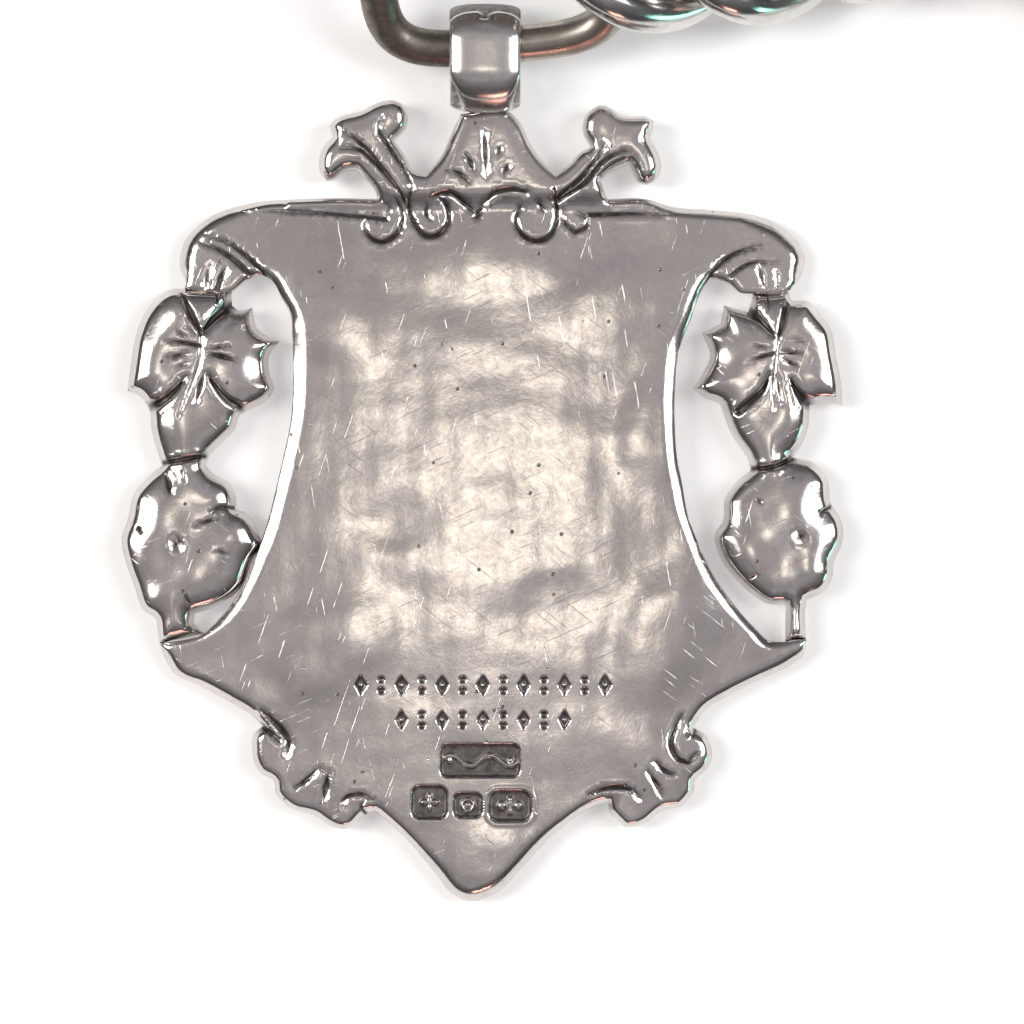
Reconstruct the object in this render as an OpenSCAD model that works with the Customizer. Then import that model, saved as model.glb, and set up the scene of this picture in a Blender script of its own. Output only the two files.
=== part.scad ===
// Silver pocket watch chain with a pierced shield fob, a T-bar and a sprung swivel clip.
// The fob lies face down at the origin and the chain arches round it, all resting on the plane z = 0.

/* [Curb links] */
// Half length of a full-size link, measured to the wire's centre
link_half_length = 3.5; // [3.4:0.05:3.6]
// Half width of a full-size link, measured to the wire's centre
link_half_width = 2.45; // [2.4:0.05:2.6]
// Wire radius of a full-size link
link_wire_r = 0.88; // [0.8:0.01:0.9]
// Twist from one end of a link to the other, degrees
link_twist = 95; // [90:100]
// Free play between two neighbouring links
link_play = 0.16; // [0.12:0.01:0.2]

/* [Main chain] */
// Number of links in the main chain
chain_count = 26; // [26:26]
// Link at which the chain starts to taper
taper_from = 12; // [8:16]
// Size of the last link, as a share of a full-size link
taper_to = 0.8; // [0.78:0.01:0.85]
// Turn of the laid-out chain at each link, degrees
turn_per_link = 7.6; // [7:0.1:8]
// Heading of the first main link, degrees
first_heading = 70; // [68:74]

/* [Fob] */
// Thickness of the shield's main plate
plate_t = 1.5; // [1.3:0.1:1.8]
// Thickness of the applied front disc that the fob rests on
disc_t = 0.5; // [0.4:0.1:0.6]
// Radius of the applied front disc
disc_r = 7.5; // [6:0.1:7.8]
// Thickness of the pierced foliage sprays
spray_t = 1.4; // [1.2:0.1:1.6]
// Thickness of the crest
crest_t = 1.6; // [1.4:0.1:1.8]

/* [Bail and rings] */
// Thickness of the bail's strap
bail_t = 0.65; // [0.5:0.05:0.75]
// Height of the bail's loop above its lowest point
bail_h = 3.8; // [3.6:0.1:4.2]
// Wire radius of the long drop ring
drop_ring_r = 0.8; // [0.7:0.05:0.8]
// Centreline radius of the round junction ring
junction_R = 4.6; // [4.5:0.1:4.7]
// Wire radius of the junction ring
junction_r = 0.6; // [0.5:0.05:0.6]

/* [T-bar] */
// Length of the bar between its domed ends
bar_len = 30; // [26:36]
// Radius of the bar
bar_r = 1.0; // [0.9:0.05:1.1]

/* [Clip] */
// Outside radius of the clip's barrel
barrel_r = 2.0; // [1.9:0.05:2.1]
// Thickness of the hook and the lever
hook_t = 2.2; // [2:0.1:2.4]
// Radius of the lever's rivet
rivet_r = 0.5; // [0.45:0.05:0.55]

/* [Hidden] */
DROP = ["drop_link_1", "drop_link_2", "drop_link_3"];
MAIN = [for (i = [1 : chain_count]) str("chain_link_", i < 10 ? "0" : "", i)];
TLINKS = ["tbar_link_1", "tbar_link_2"];
$fn = 48;
silver = [0.78, 0.76, 0.74];
bright = [0.86, 0.85, 0.83];
steel = [0.62, 0.62, 0.64];

// ---- Heights of the fob's layers ----
plate_z = disc_t;
spray_z = disc_t;
crest_z = disc_t;

// ---- Headings, pivots and places of the links ----
function dir(yaw, pitch = 0) = [cos(pitch) * cos(yaw), cos(pitch) * sin(yaw), -sin(pitch)];
function half_step(s) = s * (link_half_length - link_wire_r) - link_play / 2;
// From the centre of a link to the wire of a ring that it hangs on
ring_play = 0.14;
function to_ring(ring_r, s) = s * (link_half_length - link_wire_r) - ring_r - ring_play;

// A link's place is [centre, yaw, pitch, roll, size]
function next_link(p, yaw, pitch, roll, s) =
    [p[0] + half_step(p[4]) * dir(p[1], p[2]) + half_step(s) * dir(yaw, pitch), yaw, pitch, roll, s];
// The first link of a run hangs on the junction ring's far side
function hung_link(yaw, pitch, roll, s) =
    [junction_c + junction_R * dir(yaw) + to_ring(junction_r, s) * dir(yaw, pitch),
     yaw, pitch, roll, s];

// The links by a ring are rolled so that they thread it
drop_1 = [[7.09, 23.1, 4.4], 1, 7, 3, 1];
drop_2 = next_link(drop_1, 9, 10, 12, 1);
drop_3 = next_link(drop_2, 17, 8, 21, 1);
junction_c = drop_3[0] + to_ring(junction_r, 1) * dir(drop_3[1], drop_3[2])
    + junction_R * dir(drop_3[1]);

// The main links step down from the junction ring to the table and rise again to the clip
step_down = [0, 1.5, 2, 2, 0.5];
roll_out = [-21, -12, -4];
rise_links = 4;
rise = -1;
function main_size(i) = 1 - (1 - taper_to) * max(0, i - taper_from) / (chain_count - taper_from);
function main_pitch(i) = i <= len(step_down) ? step_down[i - 1] :
    i > chain_count - rise_links ? rise : 0;
function main_roll(i) = i <= len(roll_out) ? roll_out[i - 1] : 0;
function main_link(i) = i == 1 ? hung_link(first_heading, main_pitch(1), main_roll(1), 1) :
    next_link(main_link(i - 1), first_heading + turn_per_link * (i - 1), main_pitch(i),
              main_roll(i), main_size(i));

tbar_heading = -40;
tbar_1 = hung_link(tbar_heading, 1, -24, 0.9);
tbar_2 = next_link(tbar_1, tbar_heading + 8, 2, -18, 0.8);

// ---- T-bar and clip places ----
eye_R = 1.8;
eye_r = 0.55;
eye_slack = 0.1;
bar_yaw = tbar_2[1];
eye_c = tbar_2[0] + to_ring(eye_r, tbar_2[4]) * dir(bar_yaw, tbar_2[2])
    + (eye_R - eye_slack) * dir(bar_yaw);
collar_len = 4.8;
collar_wall = 0.28;
// The bar's middle is turned down for the collar
bar_core_len = 5;
bar_core_r = bar_r - 0.2;
bar_x = eye_R + bar_r + 0.4;
// The bar is let down until its collar rests on the table
table_gap = 0.02;
bar_pitch = asin((eye_c[2] - bar_r - collar_wall - table_gap) / bar_x);

bow_R = 2.4;
bow_r = 0.6;
last_link = main_link(chain_count);
clip_yaw = last_link[1];
clip_c = last_link[0] + (to_ring(bow_r, taper_to) + bow_R) * dir(clip_yaw);
bow_roll = -42.5;

// ---- Wire loops ----
function sgn_pow(v, e) = sign(v) * pow(abs(v), e);
// Point t of a rounded-oval wire loop that twists along its length
function loop_pt(a, b, twist, e, t) =
    let (x = a * sgn_pow(cos(t), e), y = b * sgn_pow(sin(t), e), turn = twist / 2 * x / a)
    [x, y * cos(turn), y * sin(turn)];
function unit(v) = v / norm(v);
function wire_ring(c, ahead, r, sides) =
    let (t = unit(ahead), out = unit(c - (c * t) * t), up = cross(t, out))
    [for (j = [0 : sides - 1]) c + r * (cos(360 * j / sides) * out + sin(360 * j / sides) * up)];

module wire_loop(a, b, r, twist, e, rings, sides) {
    step = 360 / rings;
    path = [for (i = [0 : rings - 1]) loop_pt(a, b, twist, e, (i + 0.5) * step)];
    skin = [for (i = [0 : rings - 1])
        each wire_ring(path[i], path[(i + 1) % rings] - path[(i + rings - 1) % rings], r, sides)];
    faces = [for (i = [0 : rings - 1]) for (j = [0 : sides - 1])
        let (k = (i + 1) % rings, m = (j + 1) % sides)
        each [[i * sides + j, i * sides + m, k * sides + m],
              [i * sides + j, k * sides + m, k * sides + j]]];
    polyhedron(points = skin, faces = faces);
}

link_squareness = 2 / 2.4;
module curb_link(p) {
    translate(p[0]) rotate([p[3], p[2], p[1]])
        wire_loop(p[4] * link_half_length, p[4] * link_half_width, p[4] * link_wire_r,
                  link_twist, link_squareness, 24, 8);
}

module round_ring(ring_R, ring_r) {
    rotate_extrude() translate([ring_R, 0]) circle(r = ring_r, $fn = 24);
}

// ---- Fob outlines: shield plate ----
plate_top_left = [[-4.6, 12.95], [-6.5, 13.0], [-8.0, 12.95], [-9.5, 12.9], [-10.5, 12.7],
    [-11.2, 12.5], [-12.0, 12.1], [-12.5, 11.7], [-12.9, 11.2], [-13.1, 10.6], [-13.15, 10.2],
    [-13.05, 9.8], [-12.85, 9.4], [-12.9, 9.1]];
plate_left_edge = [[-10.9, 9.0], [-10.2, 9.5], [-9.6, 9.7], [-9.2, 9.5], [-8.7, 8.7], [-8.3, 7.9],
    [-8.25, 7.2], [-8.2, 5.0], [-8.3, 3.5], [-8.6, 2.0], [-8.95, 0.5], [-9.3, -0.9], [-9.9, -2.6],
    [-10.6, -4.1], [-11.3, -5.0], [-12.1, -5.75]];
plate_bottom_left = [[-14.0, -6.2], [-13.8, -6.8], [-13.4, -7.45], [-12.3, -8.0], [-11.0, -8.7],
    [-10.0, -9.3], [-9.55, -9.75], [-9.95, -10.1], [-10.0, -10.7], [-9.95, -11.2], [-9.7, -11.7],
    [-9.05, -12.15], [-9.0, -12.6], [-8.7, -13.0], [-8.3, -13.3], [-7.3, -13.6], [-6.8, -13.95],
    [-6.4, -14.15], [-6.0, -14.2], [-5.6, -14.0], [-5.2, -13.6], [-4.7, -13.4], [-4.0, -14.0],
    [-3.0, -15.0], [-2.1, -16.1], [-1.35, -17.0], [-0.9, -17.25], [-0.4, -17.3]];
plate_bottom_right = [[0.2, -17.1], [0.6, -16.9], [1.5, -16.0], [2.5, -14.9], [3.5, -14.0],
    [4.5, -13.3], [5.35, -13.0], [5.35, -13.3], [5.8, -13.85], [6.1, -14.1], [6.5, -14.1],
    [6.9, -13.95], [7.7, -13.35], [8.5, -13.2], [8.8, -12.9], [9.05, -12.5], [9.05, -12.15],
    [9.6, -11.6], [9.8, -11.2], [9.8, -10.7], [9.6, -10.2], [9.0, -9.8], [9.5, -9.1], [10.6, -8.4],
    [12.0, -7.7], [13.3, -7.1], [13.7, -6.8], [13.9, -6.0]];
plate_right_edge = [[13.0, -6.1], [12.3, -6.05], [11.65, -5.5], [10.6, -4.3], [9.8, -3.1],
    [9.2, -1.85], [8.75, -0.6], [8.5, 0.8], [8.35, 1.5], [8.2, 3.1], [8.2, 4.7], [8.4, 6.5],
    [8.6, 7.1], [8.9, 7.8], [9.1, 8.4], [9.4, 9.1], [9.75, 9.6], [10.6, 9.3], [11.0, 8.95],
    [11.6, 8.9]];
plate_top_right = [[13.1, 9.0], [13.5, 9.4], [13.75, 9.9], [13.85, 10.3], [13.7, 10.9],
    [13.3, 11.4], [12.7, 11.9], [12.0, 12.2], [10.0, 12.5], [8.0, 12.65], [7.0, 12.95],
    [5.3, 12.95]];

// ---- Fob outlines: sprays ----
left_outer = [[-12.9, 9.1], [-13.5, 9.1], [-13.9, 8.9], [-14.6, 8.15], [-15.0, 7.2], [-15.25, 5.8],
    [-15.4, 4.7], [-14.95, 4.55], [-14.5, 4.0], [-14.35, 3.0], [-14.0, 1.8], [-13.9, 1.5],
    [-14.6, 0.9], [-15.15, 0.2], [-15.35, -0.7], [-15.65, -1.7], [-15.45, -2.7], [-15.1, -3.7],
    [-14.7, -4.75], [-14.15, -5.15], [-14.1, -5.6], [-14.0, -6.2]];
left_inner = [[-12.1, -5.75], [-12.55, -5.3], [-12.5, -4.9], [-11.6, -4.6], [-10.9, -4.2],
    [-10.5, -3.8], [-10.0, -2.6], [-9.6, -1.8], [-9.75, -1.4], [-10.0, -0.9], [-10.4, -0.5],
    [-10.75, -0.4], [-10.7, -0.1], [-10.95, 0.7], [-11.7, 1.15], [-12.0, 1.5], [-11.9, 1.8],
    [-11.2, 2.6], [-10.8, 3.0], [-10.5, 3.7], [-10.1, 3.9], [-9.3, 4.4], [-9.1, 4.7],
    [-9.3, 5.6], [-9.3, 6.2], [-8.8, 6.85], [-9.5, 7.15], [-9.8, 7.4], [-10.0, 8.3],
    [-10.6, 8.2], [-10.9, 8.4], [-10.9, 9.0]];
right_outer = [[13.1, 9.0], [13.3, 8.6], [14.0, 8.55], [14.4, 8.1], [14.95, 7.4], [15.15, 6.3],
    [15.4, 5.0], [15.45, 4.05], [14.8, 4.2], [14.05, 4.1], [13.95, 3.0], [13.5, 2.1],
    [13.3, 1.85], [14.2, 1.6], [14.8, 0.9], [14.95, -0.1], [15.4, -0.9], [15.5, -1.5],
    [15.4, -2.0], [15.05, -2.8], [15.05, -3.2], [14.6, -4.0], [13.9, -4.3], [13.85, -4.8],
    [13.9, -6.0]];
right_inner = [[13.0, -6.1], [13.0, -4.5], [12.3, -4.5], [11.6, -4.1], [10.95, -3.5],
    [10.2, -2.5], [9.95, -1.5], [10.3, -0.9], [10.4, 0.1], [10.9, 0.8], [11.5, 1.3],
    [11.4, 1.7], [10.7, 2.8], [10.3, 3.8], [10.2, 4.1], [9.5, 4.4], [9.0, 4.8], [9.5, 5.6],
    [9.75, 6.2], [9.4, 7.2], [10.2, 7.6], [10.35, 8.4], [11.4, 8.1], [11.6, 8.9]];

// ---- Fob outline: crest with its two trumpets ----
left_trumpet = [[-4.6, 12.95], [-4.65, 13.2], [-5.2, 13.9], [-5.5, 14.25], [-5.9, 14.2],
    [-6.5, 13.8], [-6.8, 13.75], [-7.05, 14.1], [-7.1, 14.6], [-6.9, 15.2], [-6.5, 15.6],
    [-6.65, 16.1], [-6.4, 16.4], [-5.9, 16.6], [-5.4, 16.7], [-4.4, 17.15], [-3.9, 17.2],
    [-3.5, 17.0], [-3.3, 16.6], [-3.35, 16.1], [-3.9, 15.5], [-3.4, 14.8], [-3.0, 14.1]];
palmette = [[-2.5, 14.0], [-1.9, 14.7], [-1.35, 15.85], [-1.0, 16.6], [1.2, 16.6], [1.5, 16.3],
    [2.0, 15.3], [2.6, 14.45], [3.1, 14.0]];
right_trumpet = [[3.6, 14.4], [4.2, 15.0], [4.6, 15.2], [4.25, 15.9], [4.3, 16.4], [4.6, 16.8],
    [5.0, 17.0], [5.5, 16.85], [5.9, 16.55], [6.5, 16.5], [7.0, 16.5], [7.3, 16.3], [7.25, 15.9],
    [7.1, 15.6], [7.55, 14.7], [7.6, 14.2], [7.4, 13.8], [7.0, 13.6], [6.6, 13.7], [6.25, 14.5],
    [5.4, 14.1], [5.0, 13.7], [5.3, 12.95]];

// ---- Fob ----
module shield_plate() {
    color(silver) translate([0, 0, plate_z]) linear_extrude(plate_t)
        polygon(concat(plate_top_left, plate_left_edge, plate_bottom_left, plate_bottom_right,
                       plate_right_edge, plate_top_right));
}

module front_disc() {
    color(bright) cylinder(r = disc_r, h = disc_t);
}

module left_spray() {
    color(silver) translate([0, 0, spray_z]) linear_extrude(spray_t)
        polygon(concat(left_outer, left_inner));
}

module right_spray() {
    color(silver) translate([0, 0, spray_z]) linear_extrude(spray_t)
        polygon(concat(right_outer, right_inner));
}

module crest() {
    color(silver) translate([0, 0, crest_z]) linear_extrude(crest_t)
        polygon(concat(left_trumpet, palmette, right_trumpet));
}

// ---- Bail: a strap bent into a loop, seen from its end ----
bail_x = [-1.5, 1.6];
bail_y = [16.6, 21.35];
bail_z = 0.15;
module rounded_box_2d(y0, y1, z0, z1, r) {
    hull() for (y = [y0 + r, y1 - r], z = [z0 + r, z1 - r]) translate([y, z]) circle(r = r);
}

module bail_side_2d() {
    z1 = bail_z + bail_h;
    difference() {
        union() {
            rounded_box_2d(bail_y[0], bail_y[1], bail_z, z1, 1.8);
            translate([bail_y[0], crest_z]) square([1, crest_t]);
        }
        rounded_box_2d(bail_y[0] + bail_t, bail_y[1] - bail_t, bail_z + bail_t, z1 - bail_t,
                       1.8 - bail_t);
    }
}

module bail() {
    color(bright) translate([bail_x[0], 0, 0]) rotate([90, 0, 90])
        linear_extrude(bail_x[1] - bail_x[0]) bail_side_2d();
}

// ---- Rings ----
drop_ring_pivot = [0, 19.5, 2.05];
drop_ring_tilt = 35;
drop_ring_half = [5.03, 3.29 / cos(drop_ring_tilt)];
drop_ring_c = drop_ring_pivot + [0.4, 3.3 / cos(drop_ring_tilt), 0];
drop_ring_yaw = 5.5;
drop_ring_squareness = 2 / 4;
module drop_ring() {
    color(silver) translate(drop_ring_pivot) rotate([drop_ring_tilt, 0, 0])
        translate(drop_ring_c - drop_ring_pivot) rotate([0, 0, drop_ring_yaw])
        wire_loop(drop_ring_half[0], drop_ring_half[1], drop_ring_r, 0, drop_ring_squareness,
                  40, 10);
}

module junction_ring() {
    color(silver) translate(junction_c) round_ring(junction_R, junction_r);
}

// ---- T-bar ----
module at_bar() {
    translate(eye_c) rotate([0, bar_pitch, bar_yaw]) children();
}

module t_bar() {
    color(bright) at_bar() translate([bar_x, 0, 0]) rotate([90, 0, 0]) {
        cylinder(r = bar_core_r, h = bar_core_len, center = true);
        for (end = [0, 180]) rotate([end, 0, 0]) {
            translate([0, 0, bar_core_len / 2]) cylinder(r = bar_r, h = (bar_len - bar_core_len) / 2);
            translate([0, 0, bar_len / 2]) sphere(r = bar_r);
        }
    }
}

module t_bar_collar() {
    color(silver) at_bar() difference() {
        union() {
            rotate([90, 0, 0]) round_ring(eye_R, eye_r);
            translate([bar_x, 0, 0]) rotate([90, 0, 0])
                cylinder(r = bar_r + collar_wall, h = collar_len, center = true);
        }
        translate([bar_x, 0, 0]) rotate([90, 0, 0])
            cylinder(r = bar_core_r, h = bar_core_len, center = true);
    }
}

// ---- Swivel clip, along +X from the middle of its bow ----
shank_r = 0.8;
shank_play = 0.06;
head_r = 1.25;
barrel_x = [3.6, 9.6];
cavity_x = [5.0, 6.8];
head_x = [5.1, 6.5];
hook_c = 16.4;
hook_outer = [8.2, 5.6];
hook_inner = [6.1, 3.5];
hinge_at = [11, -3];
knuckle_r = 1.4;
knuckle_t = 1;
cheek_t = 0.5;
cheek_play = 0.1;
lever_reach = 9;
lever_play = 0.12;
pivot_play = 0.05;
leaf_at = [9.6, -1.5];
leaf_size = [1.7, 0.25, 0.8];

module at_clip() {
    translate(clip_c) rotate([0, 0, clip_yaw]) children();
}

module along_x(x0, x1, r) {
    translate([x0, 0, 0]) rotate([0, 90, 0]) cylinder(r = r, h = x1 - x0);
}

module swivel_bow() {
    color(bright) at_clip() rotate([bow_roll, 0, 0]) {
        round_ring(bow_R, bow_r);
        along_x(bow_R, head_x[1], shank_r);
        along_x(head_x[0], head_x[1], head_r);
    }
}

function oval(half, n) =
    [for (i = [0 : n - 1]) [hook_c + half[0] * cos(360 * i / n), half[1] * sin(360 * i / n)]];

module hook_band_2d() {
    difference() {
        polygon(oval(hook_outer, 60));
        polygon(oval(hook_inner, 60));
    }
}

// The stretch of the band that the lever takes up, out to a distance from its hinge
module gate_2d(back, reach_r) {
    intersection() {
        translate(hinge_at) circle(r = reach_r, $fn = 96);
        translate([hinge_at[0] - back, -8]) square([16, 8]);
    }
}

module slab(t) {
    translate([0, 0, -t / 2]) linear_extrude(t) children();
}

module leaf() {
    translate([leaf_at[0], leaf_at[1], -leaf_size[2] / 2]) cube(leaf_size);
}

module clip_body() {
    color(bright) at_clip() difference() {
        union() {
            along_x(barrel_x[0], barrel_x[1], barrel_r);
            slab(hook_t) difference() {
                hook_band_2d();
                gate_2d(1, lever_reach + lever_play);
                translate(hinge_at) circle(r = knuckle_r + lever_play);
            }
            for (side = [-1, 1])
                translate([0, 0, side * (knuckle_t / 2 + cheek_play + cheek_t / 2)]) slab(cheek_t) {
                    translate(hinge_at) circle(r = knuckle_r - 0.1);
                    translate([8.6, hinge_at[1]]) square([2.4, 2.5]);
                }
        }
        along_x(barrel_x[0] - 1, cavity_x[0] + 0.1, shank_r + shank_play);
        along_x(cavity_x[0], cavity_x[1], head_r + shank_play);
        translate([hinge_at[0], hinge_at[1], -3]) cylinder(r = rivet_r, h = 6);
        leaf();
    }
}

module clip_lever() {
    color(silver) at_clip() difference() {
        union() {
            slab(knuckle_t) {
                intersection() {
                    hook_band_2d();
                    gate_2d(0, lever_reach);
                }
                translate(hinge_at) circle(r = knuckle_r);
            }
            slab(hook_t) intersection() {
                hook_band_2d();
                gate_2d(-knuckle_r - 0.2, lever_reach);
            }
        }
        translate([hinge_at[0], hinge_at[1], -3]) cylinder(r = rivet_r + pivot_play, h = 6);
    }
}

module lever_rivet() {
    color(steel) at_clip() translate([hinge_at[0], hinge_at[1], -hook_t / 2])
        cylinder(r = rivet_r, h = hook_t);
}

module lever_spring() {
    color(steel) at_clip() leaf();
}

// ---- Build ----
shield_plate();
front_disc();
left_spray();
right_spray();
crest();
bail();
drop_ring();
junction_ring();
t_bar();
t_bar_collar();
swivel_bow();
clip_body();
clip_lever();
lever_rivet();
lever_spring();
drop_links = [drop_1, drop_2, drop_3];
for (i = [0 : 2]) color(silver) curb_link(drop_links[i]);
for (i = [1 : chain_count])
    color(silver) curb_link(main_link(i));
tbar_links = [tbar_1, tbar_2];
for (i = [0 : 1]) color(silver) curb_link(tbar_links[i]);
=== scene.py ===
"""Silver pocket watch chain: a pierced shield fob on a long ring and a short drop of curb links,
a junction ring, a T-bar and a tapering main chain that ends in a sprung swivel clip."""
import math

import bpy
import numpy as np
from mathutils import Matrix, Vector
from mathutils.geometry import delaunay_2d_cdt


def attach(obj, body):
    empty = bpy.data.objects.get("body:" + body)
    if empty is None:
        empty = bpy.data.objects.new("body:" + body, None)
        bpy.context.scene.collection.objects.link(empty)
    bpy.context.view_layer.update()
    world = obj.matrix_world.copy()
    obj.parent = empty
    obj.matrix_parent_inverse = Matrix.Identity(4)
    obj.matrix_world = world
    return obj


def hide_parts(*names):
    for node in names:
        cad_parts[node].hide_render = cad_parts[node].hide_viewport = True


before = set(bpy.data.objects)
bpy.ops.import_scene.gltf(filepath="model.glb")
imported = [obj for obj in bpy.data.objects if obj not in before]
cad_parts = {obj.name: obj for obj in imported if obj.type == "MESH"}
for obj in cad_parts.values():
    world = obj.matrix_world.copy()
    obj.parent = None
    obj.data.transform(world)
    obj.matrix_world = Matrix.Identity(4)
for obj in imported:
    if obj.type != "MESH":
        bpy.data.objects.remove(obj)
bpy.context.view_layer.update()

MM = 0.001

# ---------------------------------------------------------------- camera
VIEW_WIDTH = 43.95
VIEW_CENTRE = (1.2, -0.515)
FACE_Z = 2.0
CAMERA_DISTANCE = 190.0


def make_camera():
    data = bpy.data.cameras.new("camera")
    data.sensor_width = 36.0
    data.lens = 36.0 * CAMERA_DISTANCE / VIEW_WIDTH
    data.clip_start = 0.01
    data.clip_end = 20.0
    camera = bpy.data.objects.new("camera", data)
    camera.location = (VIEW_CENTRE[0] * MM, VIEW_CENTRE[1] * MM, (FACE_Z + CAMERA_DISTANCE) * MM)
    bpy.context.scene.collection.objects.link(camera)
    bpy.context.scene.camera = camera


# ---------------------------------------------------------------- curves
def smooth_curve(points, step, closed=True, corner=50.0):
    """A smooth curve through points, sampled about every step; sharp turns stay corners."""
    pts = np.array(points, float)
    n = len(pts)
    before = np.roll(pts, 1, 0)
    after = np.roll(pts, -1, 0)
    if not closed:
        before[0] = 2 * pts[0] - pts[1]
        after[-1] = 2 * pts[-1] - pts[-2]
    a = pts - before
    b = after - pts
    la = np.linalg.norm(a, axis=1)
    lb = np.linalg.norm(b, axis=1)
    turn = np.degrees(np.arccos(np.clip((a * b).sum(1) / (la * lb), -1, 1)))
    tangent = (a / la[:, None] * lb[:, None] + b / lb[:, None] * la[:, None]) / (la + lb)[:, None]
    out = []
    for i in range(n if closed else n - 1):
        j = (i + 1) % n
        length = lb[i]
        straight = b[i] / length
        t0 = straight if turn[i] > corner else tangent[i]
        t1 = straight if turn[j] > corner else tangent[j]
        count = max(1, int(round(length / step)))
        t = np.arange(count)[:, None] / count
        h00, h10 = 2 * t**3 - 3 * t**2 + 1, t**3 - 2 * t**2 + t
        h01, h11 = -2 * t**3 + 3 * t**2, t**3 - t**2
        out.append(h00 * pts[i] + h10 * length * t0 + h01 * pts[j] + h11 * length * t1)
    if not closed:
        out.append(pts[-1:])
    return np.concatenate(out)


def distance_to(points, path, closed=True):
    """Each point's distance to a polyline, how far along it the nearest place is (0 to 1)."""
    a = path if closed else path[:-1]
    b = np.roll(path, -1, 0) if closed else path[1:]
    ab = b - a
    len2 = np.maximum((ab**2).sum(1), 1e-12)
    best = np.full(len(points), 1e9)
    along = np.zeros(len(points))
    for lo in range(0, len(points), 4000):
        p = points[lo:lo + 4000, None]
        t = np.clip(((p - a) * ab).sum(2) / len2, 0, 1)
        d2 = ((p - (a + t[..., None] * ab))**2).sum(2)
        k = d2.argmin(1)
        rows = np.arange(len(k))
        best[lo:lo + 4000] = np.sqrt(d2[rows, k])
        along[lo:lo + 4000] = (k + t[rows, k]) / len(a)
    return best, along


def inside(points, loop):
    x, y = points[:, 0][:, None], points[:, 1][:, None]
    x0, y0 = loop[:, 0], loop[:, 1]
    x1, y1 = np.roll(x0, -1), np.roll(y0, -1)
    result = np.zeros(len(points), bool)
    for lo in range(0, len(points), 4000):
        yy = y[lo:lo + 4000]
        crosses = (y0 > yy) != (y1 > yy)
        with np.errstate(divide="ignore", invalid="ignore"):
            at = x0 + (yy - y0) * (x1 - x0) / (y1 - y0)
        result[lo:lo + 4000] = (crosses & (x[lo:lo + 4000] < at)).sum(1) % 2 == 1
    return result


def smoothstep(t):
    t = np.clip(t, 0, 1)
    return t * t * (3 - 2 * t)


# ---------------------------------------------------------------- meshes
def new_object(name, verts, faces, tarnish_and_painted_light=None, smooth=True):
    mesh = bpy.data.meshes.new(name)
    mesh.from_pydata([tuple(v * MM for v in p) for p in verts], [], faces)
    mesh.validate()
    # Per-vertex darkness: tarnish in cuts and stamps, plus painted shade and a painted dark
    # reflection on some pieces.
    if tarnish_and_painted_light is not None and len(tarnish_and_painted_light) == len(mesh.vertices):
        layer = mesh.attributes.new("tarnish_and_painted_light", "FLOAT", "POINT")
        layer.data.foreach_set("value", np.asarray(tarnish_and_painted_light, np.float32))
    mesh.polygons.foreach_set("use_smooth", [smooth] * len(mesh.polygons))
    mesh.update()
    obj = bpy.data.objects.new(name, mesh)
    bpy.context.scene.collection.objects.link(obj)
    return obj


def dress(obj, body, slot, material, *nodes):
    """Gives a piece its material and body, and says which CAD nodes it stands for."""
    obj.data.materials.append(material)
    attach(obj, body)
    if nodes:
        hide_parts(*nodes)
    return obj


# A cut is (points, half width at its start, middle and end, depth)
def prepare_cuts(cuts):
    ready = []
    for points, widths, depth in cuts:
        path = smooth_curve(points, 0.1, closed=False, corner=60)
        ready.append((path, widths, depth))
    return ready


def width_along(widths, t):
    return np.interp(t, (0, 0.5, 1), widths)


def cut_depth(points, cuts):
    """Depth and darkness that engraved cuts give at each point, with a low burr beside each."""
    depth = np.zeros(len(points))
    dark = np.zeros(len(points))
    for path, widths, deep in cuts:
        reach = max(widths) * 2.2 + 0.1
        near = ((points > path.min(0) - reach) & (points < path.max(0) + reach)).all(1)
        if not near.any():
            continue
        idx = np.nonzero(near)[0]
        d, t = distance_to(points[idx], path, closed=False)
        w = width_along(widths, t)
        r = d / np.maximum(w, 0.02)
        groove = deep * np.minimum(1, w / 0.1) * np.clip(1 - r, 0, 1)**0.8
        burr = 0.12 * deep * np.exp(-((r - 1.35) / 0.35)**2)
        depth[idx] = np.maximum(depth[idx], groove) - np.where(groove > 0, 0, burr)
        dark[idx] = np.maximum(dark[idx], np.clip(1.25 - r, 0, 1) * np.minimum(1, w / 0.07))
    return depth, dark


FINE_STEP = 0.06


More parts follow.
